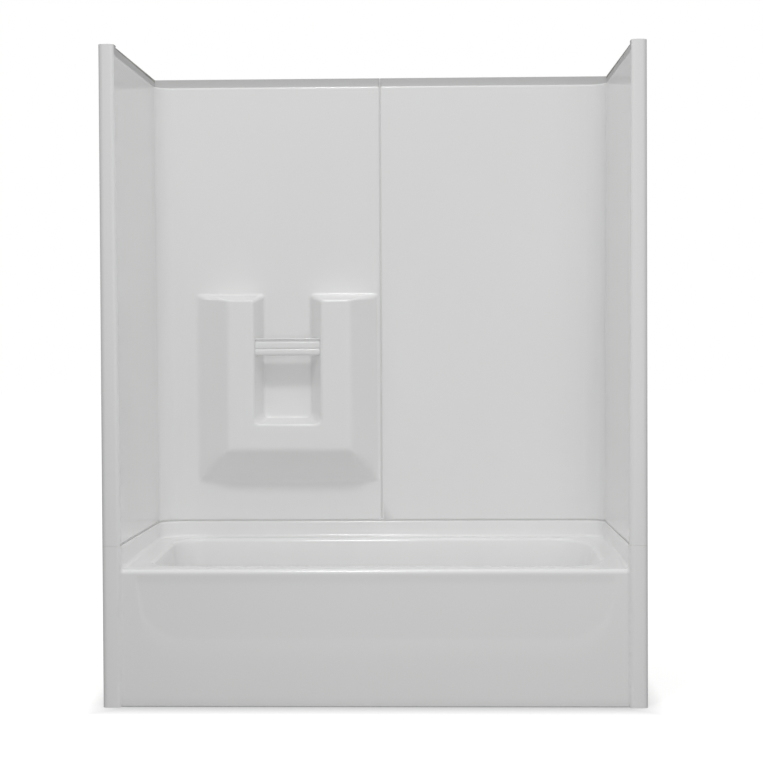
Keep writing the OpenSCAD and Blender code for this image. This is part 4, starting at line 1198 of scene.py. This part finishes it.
def floor():
    """A pale floor. The camera also sees a glow in it, weaker beside the unit: a painted shadow round its
    base.
    """
    half, drop = 30, 0.0005
    # Close to the unit the glow is dimmer: a painted shadow, narrower beside the unit's sides than in front
    # of it
    glow_x, glow_y, painted_shadow_glow, glow_far, painted_shadow_reach = 0.70, 0.381, 0.42, 0.86, 0.12
    mesh = bpy.data.meshes.new("floor")
    corners = [(-half, -half, 0), (half, -half, 0), (half, half, 0), (-half, half, 0)]
    mesh.from_pydata(corners, [], [(0, 1, 2, 3)])
    obj = placed("floor", mesh)
    obj.location = (0, 0, -drop)
    mat, tree, place = material("floor")
    shader = tree.nodes["Principled BSDF"]
    shader.inputs["Base Color"].default_value = (0.3, 0.3, 0.3, 1)
    shader.inputs["Roughness"].default_value = 0.9
    glow, mirrored, split, away, both = [tree.nodes.new("ShaderNode" + kind) for kind in (
        "Emission", "VectorMath", "SeparateXYZ", "Math", "AddShader")]
    glow.inputs["Color"].default_value = (1, 1, 1, 1)
    mirrored.operation = "ABSOLUTE"
    away.operation = "MAXIMUM"
    tree.links.new(place, mirrored.inputs[0])
    tree.links.new(mirrored.outputs["Vector"], split.inputs["Vector"])
    tree.links.new(remap(tree, split.outputs["X"], glow_x, glow_x + 1, 0.0, 1.0), away.inputs[0])
    tree.links.new(remap(tree, split.outputs["Y"], glow_y, glow_y + 1, 0.0, 1.0), away.inputs[1])
    tree.links.new(remap(tree, away.outputs["Value"], 0.0, painted_shadow_reach, painted_shadow_glow, glow_far),
                   glow.inputs["Strength"])
    tree.links.new(shader.outputs[0], both.inputs[0])
    tree.links.new(glow.outputs[0], both.inputs[1])
    split_for_camera(tree, shader, both, "Material Output")
    obj.data.materials.append(mat)
    return obj


def lamp(name, where, at, size, power, mirrored=True):
    """A round lamp in metres and watts that shines at a point. One that isn't mirrored makes no highlight."""
    data = bpy.data.lights.new(name, "AREA")
    data.shape = "DISK"
    data.size = size
    data.energy = power
    obj = placed(name, data)
    obj.location = where
    obj.visible_glossy = mirrored
    obj.rotation_mode = "QUATERNION"
    obj.rotation_quaternion = (Vector(at) - Vector(where)).to_track_quat("-Z", "Y")
    return obj


def world():
    """A white room, dimmer for the light than for the camera."""
    bpy.context.scene.world = bpy.data.worlds.new("white room")
    bpy.context.scene.world.use_nodes = True
    tree = bpy.context.scene.world.node_tree
    room, seen = tree.nodes["Background"], tree.nodes.new("ShaderNodeBackground")
    for node, strength in ((room, 0.49), (seen, 1.0)):
        node.inputs["Color"].default_value = (1, 1, 1, 1)
        node.inputs["Strength"].default_value = strength
    split_for_camera(tree, room, seen, "World Output")


def camera():
    data = bpy.data.cameras.new("camera")
    data.sensor_width = CAMERA_SENSOR
    data.lens = CAMERA_LENS
    data.clip_end = 100
    obj = placed("camera", data)
    yaw, pitch, roll = [math.radians(angle) for angle in (CAMERA_YAW, CAMERA_PITCH, CAMERA_ROLL)]
    right = Vector((math.cos(yaw), math.sin(yaw), 0))
    ahead = Vector((-math.sin(yaw), math.cos(yaw), 0))
    up = Vector((0, 0, 1))
    look = ahead * math.cos(pitch) + up * math.sin(pitch)
    head = up * math.cos(pitch) - ahead * math.sin(pitch)
    x_axis = right * math.cos(roll) + head * math.sin(roll)
    y_axis = head * math.cos(roll) - right * math.sin(roll)
    turn = Matrix((x_axis, y_axis, -look)).transposed().to_4x4()
    obj.matrix_world = Matrix.Translation(Vector(CAMERA_PLACE)) @ turn
    bpy.context.scene.camera = obj
    return obj


stage = [floor(), camera(),
         lamp("ceiling lamp", (-0.3, -2.4, 4.6), (0.0, 0.0, 0.6), 0.6, 44),
         lamp("overhead lamp", (0.0, -0.3, 5.0), (0.0, -0.1, 0.4), 1.2, 13),
         lamp("low front lamp", (0.6, -3.2, 0.95), (0.0, 0.0, 0.8), 1.6, 18, mirrored=False)]
world()
bpy.context.scene.view_settings.view_transform = "Standard"
